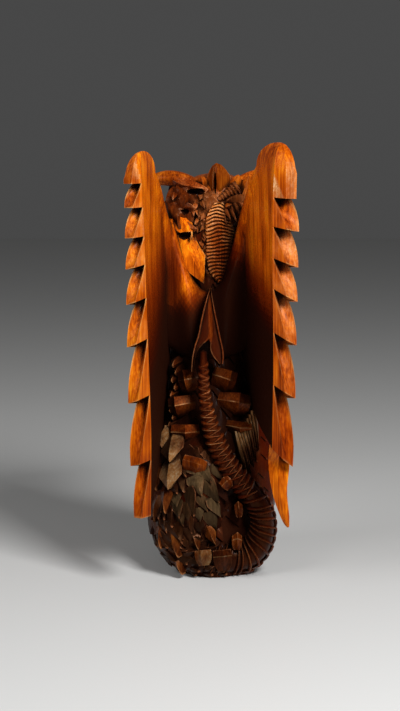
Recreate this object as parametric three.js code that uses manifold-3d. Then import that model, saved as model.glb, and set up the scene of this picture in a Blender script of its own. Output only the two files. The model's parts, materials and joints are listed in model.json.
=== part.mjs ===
// A winged dragon, carved from one block of hardwood.
// It sits upright on its rump and faces +Y, with its head turned towards +X. Its back faces -Y: there the
// tail curls under it, climbs between two rows of plates and ends in a spade, and the two raised wings end
// in steps of feathers. Millimetres, +Z up. The origin is on the underside, in the middle of the bounding
// box.

import * as THREE from "three";
import Module from "manifold-3d";

const wasm = await Module();
wasm.setup();

// Driving dimensions
const HEIGHT = 300; // of the block, just above the top of the right wing
const WING_REACH = 57; // from the middle plane to the outermost feather tip
const WING_REAR = -79; // where the rear edges of the wings run
const CENTRE_SHIFT = [0.05, 11.1]; // brings the middle of the bounding box over the origin

// For each wing: the heights at which its feathers end, how much each end slants, how far out and how high
// its crown stands, how far it leans in at the top, and how much less than the others its first feather
// reaches out.
const WINGS = {
  left: {
    side: -1,
    top: 293.5,
    tips: [275, 257.6, 235.8, 215.5, 192.2, 164.2, 126.8, 84.8, 50],
    slants: [0.5, 0.5, 1.5, 3.5, 5, 6, 6, 4.5, 1],
    crown: [46, 292],
    lean: 0,
    shed: 0,
  },
  right: {
    side: 1,
    top: HEIGHT,
    tips: [261.5, 240.2, 216.8, 194.2, 165.5, 130.2, 84.2],
    slants: [1, 3.5, 6.5, 9, 9, 9.5, 12],
    crown: [45.5, 297.6],
    lean: 5.6,
    shed: 2.2,
  },
};

const vec = (x, y, z) => new THREE.Vector3(x, y, z);
const range = (count) => Array.from({ length: count }, (_, k) => k);
const { lerp, clamp, degToRad } = THREE.MathUtils;

// The row of numbers at share t, from 0 to 1, along a smooth line through the given rows.
function along(rows, t) {
  const last = rows.length - 1;
  const place = clamp(t, 0, 1) * last;
  const i = Math.min(Math.floor(place), last - 1);
  const f = place - i;
  const row = (k) => rows[clamp(k, 0, last)];
  const [a, b, c, d] = [row(i - 1), row(i), row(i + 1), row(i + 2)];
  return b.map(
    (_, k) =>
      0.5 *
      (2 * b[k] +
        (c[k] - a[k]) * f +
        (2 * a[k] - 5 * b[k] + 4 * c[k] - d[k]) * f * f +
        (3 * b[k] - a[k] - 3 * c[k] + d[k]) * f * f * f),
  );
}

// The row of numbers where the first one, which falls or rises all the way, has the given value.
function alongAt(rows, value) {
  const rising = rows[rows.length - 1][0] > rows[0][0];
  let [low, high] = [0, 1];
  for (let k = 0; k < 30; k++) {
    const middle = (low + high) / 2;
    if (along(rows, middle)[0] < value === rising) low = middle;
    else high = middle;
  }
  return along(rows, (low + high) / 2);
}

// A manifold from points and triangles, turned to face outwards whichever way its rings ran.
function solidOf(points, faces) {
  const signed = ([a, b, c]) => points[a].dot(points[b].clone().cross(points[c]));
  const volume = faces.reduce((sum, face) => sum + signed(face), 0);
  const triangles = volume < 0 ? faces.map(([a, b, c]) => [a, c, b]) : faces;
  const mesh = new wasm.Mesh({
    numProp: 3,
    vertProperties: new Float32Array(points.flatMap((p) => p.toArray())),
    triVerts: new Uint32Array(triangles.flat()),
  });
  return new wasm.Manifold(mesh);
}

// A solid skinned over rings that have the same number of points, with its ends closed to two apexes.
function loft(rings, startApex, endApex) {
  const count = rings[0].length;
  const middle = (ring) => ring.reduce((sum, p) => sum.clone().add(p), vec(0, 0, 0)).divideScalar(count);
  const apexes = [startApex ?? middle(rings[0]), endApex ?? middle(rings[rings.length - 1])];
  const points = [...rings.flat(), ...apexes];
  const [start, end] = [points.length - 2, points.length - 1];
  const faces = [];
  for (let j = 0; j < count; j++) {
    const next = (j + 1) % count;
    for (let k = 0; k < rings.length - 1; k++) {
      const [low, high] = [k * count, (k + 1) * count];
      faces.push([low + j, low + next, high + next], [low + j, high + next, high + j]);
    }
    const top = (rings.length - 1) * count;
    faces.push([next, j, start], [top + j, top + next, end]);
  }
  return solidOf(points, faces);
}

const join = (solids) => solids.reduce((sum, one) => sum.add(one));

// An oval ring of points round a centre. Squareness over 1 fills its corners out.
function oval(centre, across, up, count, squareness = 1) {
  const bulge = (v) => Math.sign(v) * Math.abs(v) ** (1 / squareness);
  return range(count).map((j) => {
    const angle = (2 * Math.PI * j) / count;
    return centre
      .clone()
      .addScaledVector(across, bulge(Math.cos(angle)))
      .addScaledVector(up, bulge(Math.sin(angle)));
  });
}

// The place, radius and directions at share t of a path of [x, y, z, radius] rows. `side` is the way it lies
// wide.
function station(rows, t, side) {
  const point = (s) => vec(...along(rows, s));
  const heading = point(Math.min(t + 0.01, 1))
    .sub(point(Math.max(t - 0.01, 0)))
    .normalize();
  const up = side.clone().cross(heading).normalize();
  return { centre: point(t), radius: along(rows, t)[3], heading, up, across: heading.clone().cross(up) };
}

// A tube along such a path. `flat` is its thickness over its width, and `swell(k)` sizes each ring.
function tube(rows, { steps, sides, side = vec(1, 0, 0), flat = 1, swell = () => 1, from = 0 }) {
  const rings = range(steps + 1).map((k) => {
    const { centre, radius, across, up } = station(rows, lerp(from, 1, k / steps), side);
    const size = radius * swell(k);
    return oval(centre, across.multiplyScalar(size), up.multiplyScalar(size * flat), sides);
  });
  const apex = (t, way) => {
    const { centre, radius, heading } = station(rows, t, side);
    return centre.addScaledVector(heading, way * radius * 0.6);
  };
  return loft(rings, apex(from, -1), apex(1, 1));
}

// The rings of rows of overlapping scales on a surface, which is given as a function of the share along it,
// the share round it and the lift out of it. Each row ends in a zigzag of scale tips and then steps back.
function shingles(surface, { from = 0, to = 1, rows, around, arc = 1, lift, zigzag }) {
  return range(rows).flatMap((row) => {
    const t = lerp(from, to, row / (rows - 1));
    const ring = (height, lag) =>
      range(around).map((j) => {
        const shift = zigzag * ((j + row) % 2 ? 1 : -1) + lag;
        return surface(t + shift, (arc * j) / (arc < 1 ? around - 1 : around), height);
      });
    return [ring(lift, 0), ring(0, zigzag * 0.12)];
  });
}

// A keeled leaf from base to tip, for scales, feathers, spines and claws. `out` is the way its keel stands.
function leaf(base, tip, out, { width, keel, sunk = 3, belly = 0.45, heel = 0.6 }) {
  const length = tip.clone().sub(base);
  const up = out.clone().normalize();
  const across = length.clone().cross(up).normalize();
  const ring = (share, wide, high) => {
    const centre = base.clone().addScaledVector(length, share);
    return [
      centre.clone().addScaledVector(across, (-width / 2) * wide),
      centre.clone().addScaledVector(up, keel * high),
      centre.clone().addScaledVector(across, (width / 2) * wide),
      centre.clone().addScaledVector(up, -sunk),
    ];
  };
  return loft([ring(0, heel, 0.5), ring(belly, 1, 1)], undefined, tip);
}

// The body, from the underside up to the crown: rows of [z, middle x, middle y, half-width, half-depth].
const TRUNK = [
  [0, 3, -2, 27, 43],
  [9, 0, -1, 35, 45],
  [24, -2, 0, 40, 43],
  [42, -3, 0, 41, 40],
  [62, -3, 0, 37, 35],
  [90, -2.5, 1, 32, 28],
  [120, -2.5, 4, 28, 24],
  [150, -2.5, 7, 26, 22],
  [180, -2, 9, 24, 20],
  [205, -1, 10, 21, 18],
  [228, -1, 10, 23, 18],
  [245, -2, 11, 26, 19],
  [258, -2, 12, 25, 18],
  [268, 0, 13, 14, 11],
];
const SCALED_BODY = { bottom: 14, top: 178 };

function trunkPoint(z, share, lift = 0) {
  const [, x, y, wide, deep] = alongAt(TRUNK, z);
  const angle = 2 * Math.PI * share;
  return vec(x + (wide + lift) * Math.cos(angle), y + (deep + lift) * Math.sin(angle), z);
}

function trunk() {
  const around = 14;
  const { bottom, top } = SCALED_BODY;
  const plain = (z) => range(around).map((j) => trunkPoint(z, j / around));
  const scales = shingles((t, share, lift) => trunkPoint(lerp(top, bottom, t), share, lift), {
    rows: 7,
    around,
    lift: 2.6,
    zigzag: 0.022,
  });
  return loft([...[268, 258, 245, 228, 205, 186].map(plain), ...scales, ...[7, 0].map(plain)]);
}

// The wing's front edge, from its foot up to its top: rows of [z, x, y], seen on the right-hand side.
const WING_FRONT = [
  [90, 31, -5],
  [120, 28, -4],
  [150, 26, -4],
  [180, 25.5, -5],
  [208, 26, -7],
  [235, 27.5, -12],
  [252, 29, -20],
  [270, 32.5, -35],
  [285, 37.5, -52],
  [300, 43, -68],
];
// Its rear edge: rows of [z, x].
const WING_BACK = [
  [50, 40.5],
  [100, 40],
  [150, 41.5],
  [200, 43],
  [250, 44.5],
  [280, 46],
  [300, 47],
];
const TURN = 0.035; // the front of the body is turned a little towards -X

const turned = (p) => p.setX(p.x - TURN * (p.y - WING_REAR));

// How far a wing leans in at height z.
function leanAt({ lean }, z) {
  const rise = clamp((z - 100) / 180, 0, 1);
  return lean * rise * rise * (3 - 2 * rise);
}

// A point on a wing at share u from front to rear, on the line that meets the rear edge at height z. `lift`
// carries it out of the inner face.
function wingPoint(wing, z, u, lift) {
  const frontZ = z + 0.17 * (HEIGHT - z);
  const [, frontX, frontY] = alongAt(WING_FRONT, frontZ);
  const [, rearX] = alongAt(WING_BACK, z);
  const x = lerp(frontX, rearX, 1 - (1 - u) ** 1.25);
  const y = lerp(frontY, WING_REAR + 8 * clamp((z - 280) / 20, 0, 1), u);
  const height = lerp(frontZ, z, u);
  const drop = (HEIGHT - wing.top) * clamp((height - 240) / 60, 0, 1);
  return turned(vec(wing.side * (x - leanAt(wing, height) + lift), y, height - drop));
}

// One section of a wing. `reach` is where its feather ends outside, and `slant` lifts the cut at its inner
// corner.
function wingRing(wing, z, { reach, slant, thick }) {
  const rear = wingPoint(wing, z, 1, 0);
  const width = reach - Math.abs(rear.x);
  const inner = [0, 0.3, 0.62].map((u) => {
    const point = wingPoint(wing, z, u, 0);
    return point.setZ(point.z + slant * u);
  });
  const tooth = [
    [0, 0, slant],
    [0.5, 0.5 * (47 - reach), slant * 0.4],
    [1, 0, 0],
  ].map(([share, back, up]) => vec(rear.x + wing.side * share * width, rear.y + back, rear.z + up));
  const outer = [
    [0.76, width * 0.95],
    [0.42, thick],
    [0.08, thick * 0.75],
  ].map(([u, lift]) => wingPoint(wing, z, u, lift));
  return [...inner, ...tooth, ...outer];
}

const DOME_FOOT = HEIGHT - 22; // from here up a wing is rounded off

function wingSail(wing) {
  const rings = wing.tips.flatMap((tip, k) => {
    const shed = k === 0 ? wing.shed : 0;
    const reach = WING_REACH - 0.014 * (260 - tip) - 0.05 * Math.max(0, 100 - tip) - shed;
    const slant = wing.slants[k];
    return [
      wingRing(wing, tip, { reach, slant, thick: 9 }),
      wingRing(wing, tip, { reach: reach - 5.5, slant: slant * 0.7, thick: 6.5 }),
    ];
  });
  const [out, top] = wing.crown;
  const slant = wing.slants[0] * 0.3;
  const foot = wingRing(wing, DOME_FOOT, { reach: WING_REACH - 0.6 - wing.shed, slant, thick: 8 });
  const level = foot.reduce((sum, p) => sum + p.z / foot.length, 0);
  const middle = turned(vec(wing.side * out, -71.5, level));
  const dome = [62, 34, 10].map((degrees) => {
    const [c, rise] = [Math.cos(degToRad(degrees)), (top - level) * Math.sin(degToRad(degrees))];
    return foot.map((p) => middle.clone().lerp(p, c).add(vec(0, 0, rise)));
  });
  return loft([...dome, ...rings], middle.clone().setZ(top));
}

// The thick rod of the wing's front edge, from the shoulder up and round over the top of the wing.
const WING_ARM = [
  [20, -8, 192, 10],
  [30, -10, 224, 9],
  [35.5, -18, 247, 8.5],
  [39.5, -33, 264, 8],
  [43, -46, 275, 7.5],
  [46, -58, 282, 6.5],
];

function wingArm(wing) {
  const rows = WING_ARM.map(([x, y, z, radius], k) => {
    const drop = (HEIGHT - wing.top) * (k / (WING_ARM.length - 1));
    const point = turned(vec(wing.side * (x - leanAt(wing, z)), y, z - drop));
    return [...point.toArray(), radius];
  });
  return tube(rows, { steps: 6, sides: 6 });
}

// The shoulder that joins a wing to the back. Its upper edge falls in a bow to the notch between the wings.
function shoulder({ side }) {
  const [steps, sides, reach] = [4, 9, 38];
  const rings = range(steps + 1).map((k) => {
    const x = (reach * k) / steps - 3;
    const top = Math.min(194 + 0.085 * x * x, 244);
    const bottom = 146 + 0.012 * x * x;
    const bulge = 4 * Math.exp(-(((x - 13) / 7) ** 2));
    const centre = vec(side * x - 2, -13 + 0.004 * x * x, (top + bottom) / 2);
    return oval(centre, vec(0, 8 + bulge, 0), vec(0, 0, (top - bottom) / 2), sides);
  });
  return loft(rings);
}

// The last feather of the right wing hangs free below the others: [x, y, z, half-width].
const LAST_FEATHER = [
  [46, -60, 104, 7],
  [45, -68, 84, 8],
  [45.5, -73, 66, 5.5],
  [49, -76, 50, 3.2],
  [51, -76, 43, 1],
];

function lastFeather() {
  return tube(LAST_FEATHER, { steps: 4, sides: 6, side: vec(1, -0.6, 0), flat: 1.1 });
}

// Rows of short feathers that cover the roots of the long ones, on the outside of a wing: from a front to a
// rear share of its width and from an upper height to a lower one, as one skin whose back lies in the wing.
const COVERTS = { front: 0.04, rear: 0.6, upper: 262, lower: 158, proud: 9.4 };

function coverts(wing) {
  const { front, rear, upper, lower, proud } = COVERTS;
  const around = 8;
  const outside = 6; // of the points round it
  const surface = (t, share, lift) => {
    const j = Math.round(share * around);
    const u = j < outside ? lerp(front, rear, j / (outside - 1)) : lerp(rear, front, j - outside);
    return wingPoint(wing, lerp(upper, lower, t), u, j < outside ? proud + lift : 2);
  };
  return loft(shingles(surface, { rows: 4, around, lift: 3, zigzag: 0.045 }));
}

// The tail: rows of [x, y, z, radius]. It leaves the rump, curls under it and climbs the back.
const TAIL = [
  [-6, -4, 104, 17],
  [-7, -14, 82, 22],
  [-8, -24, 60, 24],
  [-14, -29, 41, 22],
  [-20, -32, 25, 18],
  [-11, -36, 15, 14.5],
  [7, -37, 12, 12.5],
  [24, -36, 14, 11],
  [33.5, -37, 24, 9.5],
  [35.5, -39, 40, 8.4],
  [30, -41, 54, 7.8],
  [20, -41, 66, 7.4],
  [9.5, -39, 80, 7],
  [2, -37, 96, 6.4],
  [-2.5, -36, 112, 5],
  [-5, -36, 128, 4.1],
  [-5.5, -36, 142, 3.6],
  [-5.5, -35, 155, 2.6],
];
const TAIL_SIDE = vec(0.25, -1, 0.1);
const TAIL_ROOT_END = 0.34; // the share of its length up to which it is scaled
const ROOT_FACES = degToRad(-112); // the angle at which the scales of its root begin

function tail() {
  const sides = 12; // of its scaled root, on the side that is clear of the body
  const surface = (t, share, lift) => {
    const { centre, radius, across, up } = station(TAIL, t, TAIL_SIDE);
    const angle = 2 * Math.PI * share + ROOT_FACES;
    return centre
      .addScaledVector(across, (radius + lift) * Math.cos(angle))
      .addScaledVector(up, (radius + lift) * Math.sin(angle));
  };
  const root = shingles(surface, {
    from: 0.02,
    to: TAIL_ROOT_END,
    rows: 7,
    around: sides,
    arc: 0.62,
    lift: 2.4,
    zigzag: 0.009,
  });
  const ladder = (k) => (k % 2 ? 0.86 : 1);
  const from = TAIL_ROOT_END - 0.04;
  const free = tube(TAIL, { steps: 34, sides: 6, side: TAIL_SIDE, swell: ladder, from });
  return [loft(root), free];
}

// The spade on the end of the tail, in two halves: rows of [inner x, outer x, z] from the tip to the barb.
// They are joined down to the fork.
const SPADE = {
  left: [
    [-0.5, -3.2, 192],
    [-0.3, -7.1, 177],
    [-0.3, -9.4, 166],
    [-8.6, -12.2, 157],
    [-11.4, -13.4, 148],
    [-12.4, -13.6, 142],
  ],
  right: [
    [-0.9, 0.7, 192],
    [-1.1, 3.9, 177],
    [-1.1, 6.2, 166],
    [-1.2, 8.2, 157],
    [4.8, 8.2, 147.5],
  ],
};

// Each half is dished: its outer edge stands up as a rim.
function spadeHalf(rows) {
  const rings = rows.map(([inner, outer, z]) => {
    const y = -29 - 7 * clamp((198 - z) / 50, 0, 1);
    return [
      vec(inner, y - 1.6, z),
      vec(lerp(inner, outer, 0.55), y - 1.4, z),
      vec(outer, y - 3.3, z),
      vec(outer, y + 3, z),
      vec(inner, y + 14, z),
    ];
  });
  return loft(rings, vec(-0.7, -27.5, 198.5));
}

// A bracket whose upper facets tilt back to a sharp rim, and which runs in to the surface below it. `at` is
// the middle of the rim's root, `out` the way it stands, `down` the way it runs in, `reach` how far it stands
// out, `ridge` where its ridge runs, from -1 to 1 across it, and `peak` how far the rim rises there.
function ledge({ at, out, down, width, height, reach, ridge, peak }) {
  const across = out.clone().cross(down).normalize();
  const section = (share, grow, depth) =>
    [
      [-0.95, -8, 0],
      [-1, depth * 0.6, 0],
      [ridge, depth, peak * (1 - share) ** 2],
      [1, depth * 0.66, 0],
      [0.95, -8, 0],
    ].map(([side, distance, rise]) =>
      at
        .clone()
        .addScaledVector(down, share * height - rise)
        .addScaledVector(across, (side * width * grow) / 2)
        .addScaledVector(out, distance),
    );
  return loft([section(0, 0.95, reach * 0.74), section(0.3, 1, reach), section(1, 0.55, 1.5)]);
}

// The plates of the back, in two rows with the tail between them: [x, z of the rim, width, height, lean,
// where the ridge stands, how far it rises].
const PLATES = [
  [-17, 139.5, 14, 18, 0.2, -0.35, 2.2],
  [10.5, 140.5, 17, 18, -0.3, 0.45, 1.2],
  [-21, 122, 19, 17, 0.15, -0.5, 1.2],
  [16.5, 123.5, 23, 17, -0.15, 0.3, 2.2],
  [-18, 103.5, 20, 16, 0.02, 0, 0.6],
  [19.5, 105, 18, 12, -0.1, 0.1, 0.5],
];

function plate([x, z, width, height, lean, ridge, peak]) {
  const [, middleX, middleY, trunkWide, trunkDeep] = alongAt(TRUNK, z);
  const across = clamp((x - middleX) / trunkWide, -0.95, 0.95);
  const at = vec(x, middleY - trunkDeep * Math.sqrt(1 - across * across), z);
  const down = vec(lean, 0, -1).normalize();
  return ledge({ at, out: vec(0, -1, 0), down, width, height, reach: 16, ridge, peak });
}

// The row of plates goes on along the root of the tail: [x, y, z, width, height, lean, ridge, peak].
const SPINES = [
  [-10, -42, 83, 17, 12, -0.3, 0.35, 1.2],
  [7.5, -46, 69, 8, 8, 0.8, 0.2, 2],
  [18.3, -44, 51, 5.5, 9, 0.1, 0, 3],
  [17.5, -47, 30, 7, 10, 0, 0.1, 3],
  [7, -50, 21, 13, 15, 0.1, 0.1, 0.3],
  [-6, -51, 21, 11.5, 11, 0.1, -0.3, 0.4],
];

function spine([x, y, z, width, height, lean, ridge, peak]) {
  const down = vec(lean, 0, -1).normalize();
  const out = vec(lean * 0.4, -1, 0.1).normalize();
  return ledge({ at: vec(x, y, z), out, down, width, height, reach: 6, ridge, peak });
}

// Broad leaf-shaped scales over the left hip and foot: [x, y, z, tip x, tip y, tip z, width].
const HIP_LEAVES = [
  [-24, -20, 101, -28, -38, 80, 17],
  [-27, -26, 86, -28, -43, 63, 19],
  [-30, -37, 64, -31.5, -46.5, 45, 12],
  [-34, -37, 37, -34.5, -45, 20, 11],
  [-27, -44, 36, -22.5, -54, 16, 13],
  [-36, -27, 54, -39, -33, 36, 10],
  [-24, -44, 17, -20, -50, 3, 8],
];

function hipLeaf([x, y, z, tipX, tipY, tipZ, width]) {
  const base = vec(x, y, z);
  const tip = vec(tipX, tipY, tipZ);
  return leaf(base, tip, vec(x * 0.02, -1, 0.2), { width, keel: 3.6, sunk: 8, belly: 0.5 });
}

// A tuft of long strands at the right hip.
function hipTuft() {
  return range(4).map((k) => {
    const base = vec(17 + 4 * k, -27 + 2 * k, 98 + 3 * k);
    const tip = vec(27 + 2.1 * k, -32 + 4 * k, 66 + 4 * k);
    return leaf(base, tip, vec(0.4, -1, 0), { width: 6, keel: 2.5, sunk: 7 });
  });
}

// A haunch and its foot, folded beside the body, with three claws.
function hindLeg(side) {
  const thigh = [
    [side * 22, -4, 104, 12],
    [side * 29, -6, 72, 16],
    [side * 29, 4, 40, 15],
    [side * 26, 20, 22, 11],
  ];
  const foot = [
    [side * 25, 18, 14, 11],
    [side * 26, 34, 12, 10],
    [side * 27, 46, 10, 7],
  ];
  return [
    tube(thigh, { steps: 3, sides: 8 }),
    tube(foot, { steps: 2, sides: 7 }),
    ...claws(vec(side * 27, 42, 12), 5.5, vec(0, 17, -8)),
  ];
}

// A straight foreleg whose paw rests between the hind feet.
function foreLeg(side) {
  const rows = [
    [side * 16, 14, 152, 12],
    [side * 20, 25, 124, 11],
    [side * 17, 31, 94, 8.5],
    [side * 14, 37, 62, 7.5],
    [side * 12, 42, 34, 8],
    [side * 12, 46, 20, 9],
  ];
  return [tube(rows, { steps: 6, sides: 6 }), ...claws(vec(side * 12, 46, 20), 5, vec(0, 14, -13))];
}

function claws(base, pitch, reach) {
  return [-1, 0, 1].map((k) => {
    const root = base.clone().add(vec(pitch * k, 0, 0));
    const tip = root.clone().add(reach).add(vec(1.5 * k, 0, 0));
    return leaf(root, tip, vec(0, 0.6, 0.8), { width: pitch + 0.6, keel: 3, sunk: 4 });
  });
}

// A stack of ledges or ribs: each of `count` steps is a full section, and then one sunk by `groove`.
function ribbed(section, { count, groove }) {
  return loft(range(count).flatMap((k) => [section(k / count, 0), section((k + 0.75) / count, groove)]));
}

// The ledges of the belly, one above the other between the forelegs.
function belly() {
  const section = (t, sunk) => {
    const z = lerp(208, 56, t);
    const wide = lerp(11, 18, t);
    const [, x, y, , deep] = alongAt(TRUNK, z);
    return oval(vec(x, y + deep - 4, z), vec(wide - sunk * 0.5, 0, 0), vec(0, 9 - sunk, 0), 8);
  };
  return ribbed(section, { count: 11, groove: 3 });
}

// The ribbed shield down the back of the neck: rows of [z, left x, right x].
const SHIELD = [
  [200, 4.5, 7.5],
  [207, -1.5, 13.5],
  [216, -3.8, 18],
  [226, -4.2, 19.5],
  [236, -4.2, 16.5],
  [246, -3.5, 12.5],
  [255, 2, 9],
];

function shield() {
  const section = (t, sunk) => {
    const [z, left, right] = along(SHIELD, 1 - t);
    const [, x, y, wide, deep] = alongAt(TRUNK, z);
    const front = range(4).map((k) => {
      const place = lerp(left, right, k / 3);
      const rear = y - deep * Math.sqrt(1 - clamp((place - x) / wide, -0.95, 0.95) ** 2);
      const middle = Math.sin((Math.PI * k) / 3);
      return vec(place, rear - 2.6 + sunk - 1.2 * middle, z + 1.5 * middle);
    });
    return [...front, vec(right - 1, y, z), vec(left + 1, y, z)];
  };
  return ribbed(section, { count: 12, groove: 1.7 });
}

// The swelling down the left of the neck: rows of [x, y, z, radius].
const NECK_SIDE = [
  [-17, 3, 266, 8],
  [-20, 1, 256, 11],
  [-21, 0, 244, 12],
  [-19, -1, 230, 10.5],
  [-14, 0, 214, 8],
];

// Wedge-shaped spines across it: [base x, y, z, tip x, y, z, width].
const NECK_SPINES = [
  [-27, 2, 272, -2, -9, 264, 13],
  [-24, -3, 254, -11, -13, 252, 8],
  [-28, -2, 243, -10, -14, 237.5, 12],
];

function neckSpine([x, y, z, tipX, tipY, tipZ, width]) {
  return leaf(vec(x, y, z), vec(tipX, tipY, tipZ), vec(0.1, -0.5, 1), { width, keel: 2.5, sunk: 6 });
}

// The head's own frame: its nose along +Y, turned towards +X and tipped a little down.
const HEAD_FRAME = new THREE.Matrix4()
  .makeTranslation(2, 16, 256)
  .multiply(new THREE.Matrix4().makeRotationZ(degToRad(-34)))
  .multiply(new THREE.Matrix4().makeRotationX(degToRad(-9)));

// A head part along rows of [y, z, half-width, half-height].
function headLoft(rows, steps, sides) {
  const rings = range(steps + 1).map((k) => {
    const [y, z, wide, high] = along(rows, k / steps);
    return oval(vec(0, y, z), vec(wide, 0, 0), vec(0, 0, high), sides, 1.15);
  });
  return loft(rings);
}

const SKULL = [
  [-20, 0, 8, 8],
  [-13, 1, 18, 14],
  [-3, 2, 21, 16],
  [9, 4, 19, 15],
  [21, 4, 14, 11.5],
  [33, 3, 12, 8.5],
  [43, 4, 12, 8.5],
  [50, 3, 8, 6],
];
const JAW = [
  [-6, -10, 15, 8],
  [8, -14, 13, 6],
  [22, -19, 10, 5],
  [36, -23, 8, 4.5],
  [43, -24, 5, 3],
];
const TONGUE = [
  [0, 8, -11, 4],
  [0, 28, -14, 4],
  [0, 40, -14, 3.4],
  [0, 48, -10, 2],
];

// Head features that come in pairs: [base x, y, z, tip x, y, z, width, keel].
const HEAD_PAIRS = {
  brow: [9, 21, 14, 20, -3, 13, 11, 4],
  nostril: [5, 47, 8, 10, 32, 14, 9, 4],
  lip: [15, 6, -5, 12, 47, 0, 8, 3],
  cheekFrill: [15, 0, 4, 26, -16, 7, 12, 3.5],
  jowlFrill: [14, -3, -5, 25, -19, -6, 12, 3.5],
  upperFang: [9, 40, -2, 9.5, 41, -14, 5, 2.5],
  upperTooth: [10, 29, -3, 10.5, 30, -12, 5, 2.5],
  lowerFang: [7, 36, -20, 7.5, 36, -11, 4.5, 2],
  lowerTooth: [8.5, 24, -17, 9, 24, -9, 4.5, 2],
  eye: [12, 20, 8, 15.5, 8, 9, 9, 4.5],
};

function head() {
  const pairs = Object.values(HEAD_PAIRS).flatMap(([x, y, z, tipX, tipY, tipZ, width, keel]) =>
    [-1, 1].map((side) => {
      const out = vec(side, 0.1, Math.abs(tipZ - z) > 8 ? 0 : 0.45);
      return leaf(vec(side * x, y, z), vec(side * tipX, tipY, tipZ), out, { width, keel, sunk: 4 });
    }),
  );
  const beard = leaf(vec(0, 26, -21), vec(0, 18, -40), vec(0, 1, 0), { width: 11, keel: 4 });
  const parts = [
    headLoft(SKULL, 8, 10),
    headLoft(JAW, 5, 8),
    tube(TONGUE, { steps: 4, sides: 6, flat: 0.6 }),
    beard,
    ...pairs,
  ];
  return parts.map((part) => part.transform(HEAD_FRAME.toArray()));
}

// The horns sweep out behind the head, on both sides: [x, y, z, radius].
const HORNS = [
  [
    [2, 12, 254, 8],
    [-11, 7, 264, 7.8],
    [-23, 4, 270, 7.2],
    [-34, 5, 271, 6],
    [-44, 9, 267, 4],
    [-50, 13, 262, 1.5],
  ],
  [
    [10, 16, 256, 8],
    [20, 16, 265, 7.8],
    [31, 20, 271, 6.5],
    [41, 26, 272, 4.5],
    [49, 34, 267, 1.6],
  ],
];

// Leaves of the crest behind the crown: [base x, base z, tip x, tip z, width].
const CREST = [
  [0.5, 256, 1.5, 280, 8],
  [7, 256, 3.5, 282, 17],
  [-5, 262, -7, 273, 9],
  [14, 258, 19, 274, 9],
  [20, 256, 26, 273, 8],
];

function crest() {
  const horns = HORNS.map((rows) => tube(rows, { steps: 6, sides: 6, side: vec(0, 1, 0), flat: 0.85 }));
  const leaves = CREST.map(([x, z, tipX, tipZ, width]) => {
    const shape = { width, keel: 4.5, sunk: 5, belly: 0.7, heel: 0.75 };
    return leaf(vec(x, 0, z), vec(tipX, -2, tipZ), vec(0, -1, 0.1), shape);
  });
  const ear = leaf(vec(22, -1, 264), vec(9, -9, 255), vec(0.2, -1, 0.5), { width: 13, keel: 4, sunk: 6 });
  const curls = [0, 1, 2].map((k) => {
    const base = vec(11 + 4 * k, -6 + k, 252 - 2 * k);
    const tip = vec(16 + 4 * k, -9 + k, 237 - 2 * k);
    return leaf(base, tip, vec(0.3, -1, 0), { width: 6, keel: 3.5, sunk: 5 });
  });
  return [...horns, ...leaves, ear, ...curls];
}

// Everything below the table is cut away, which leaves a flat underside.
function tableCut() {
  const square = (z) => oval(vec(0, 0, z), vec(150, 0, 0), vec(0, 150, 0), 4);
  return loft([square(-60), square(0)]);
}

function dragon() {
  const wings = Object.values(WINGS).flatMap((wing) => [
    wingSail(wing),
    wingArm(wing),
    shoulder(wing),
    coverts(wing),
  ]);
  const solid = join([
    trunk(),
    ...wings,
    lastFeather(),
    ...tail(),
    ...Object.values(SPADE).map(spadeHalf),
    ...PLATES.map(plate),
    ...SPINES.map(spine),
    ...HIP_LEAVES.map(hipLeaf),
    ...hipTuft(),
    ...[-1, 1].flatMap((side) => [...hindLeg(side), ...foreLeg(side)]),
    belly(),
    shield(),
    tube(NECK_SIDE, { steps: 4, sides: 8 }),
    ...NECK_SPINES.map(neckSpine),
    ...head(),
    ...crest(),
  ]);
  return solid.subtract(tableCut()).translate([...CENTRE_SHIFT, 0]);
}

// The outer skin of a solid as a three.js geometry. Small pockets that joined parts close in are filled.
function outerSkin(solid) {
  const { vertProperties, triVerts } = solid.getMesh();
  const shellOf = range(vertProperties.length / 3);
  const find = (k) => {
    while (shellOf[k] !== k) k = shellOf[k] = shellOf[shellOf[k]];
    return k;
  };
  const triangles = range(triVerts.length / 3).map((k) => [...triVerts.slice(3 * k, 3 * k + 3)]);
  triangles.forEach(([a, b, c]) => {
    shellOf[find(b)] = find(a);
    shellOf[find(c)] = find(a);
  });
  const point = (k) => vec(...vertProperties.slice(3 * k, 3 * k + 3));
  const volumes = new Map();
  triangles.forEach(([a, b, c]) => {
    const volume = point(a).dot(point(b).cross(point(c)));
    volumes.set(find(a), (volumes.get(find(a)) ?? 0) + volume);
  });
  const kept = triangles.filter(([a]) => volumes.get(find(a)) > 0);
  return new THREE.BufferGeometry()
    .setAttribute("position", new THREE.BufferAttribute(vertProperties, 3))
    .setIndex(kept.flat());
}

const wood = new THREE.MeshStandardMaterial({ color: 0x8a3a14, roughness: 0.38, metalness: 0 });
const figure = new THREE.Mesh(outerSkin(dragon()), wood);
figure.name = "dragon";

const root = new THREE.Group();
root.add(figure);

export default root;
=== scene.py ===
"""Dresses the carved wooden dragon: its fine carving, its varnished wood, the light and the camera.

All sizes are millimetres in the source's own frame, where +Z is up and the back faces -Y. Where the mesh is
made they become metres and move by CENTRE_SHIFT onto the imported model.
"""
import json
import math
import random

import bpy
import numpy as np
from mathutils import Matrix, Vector, noise

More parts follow.
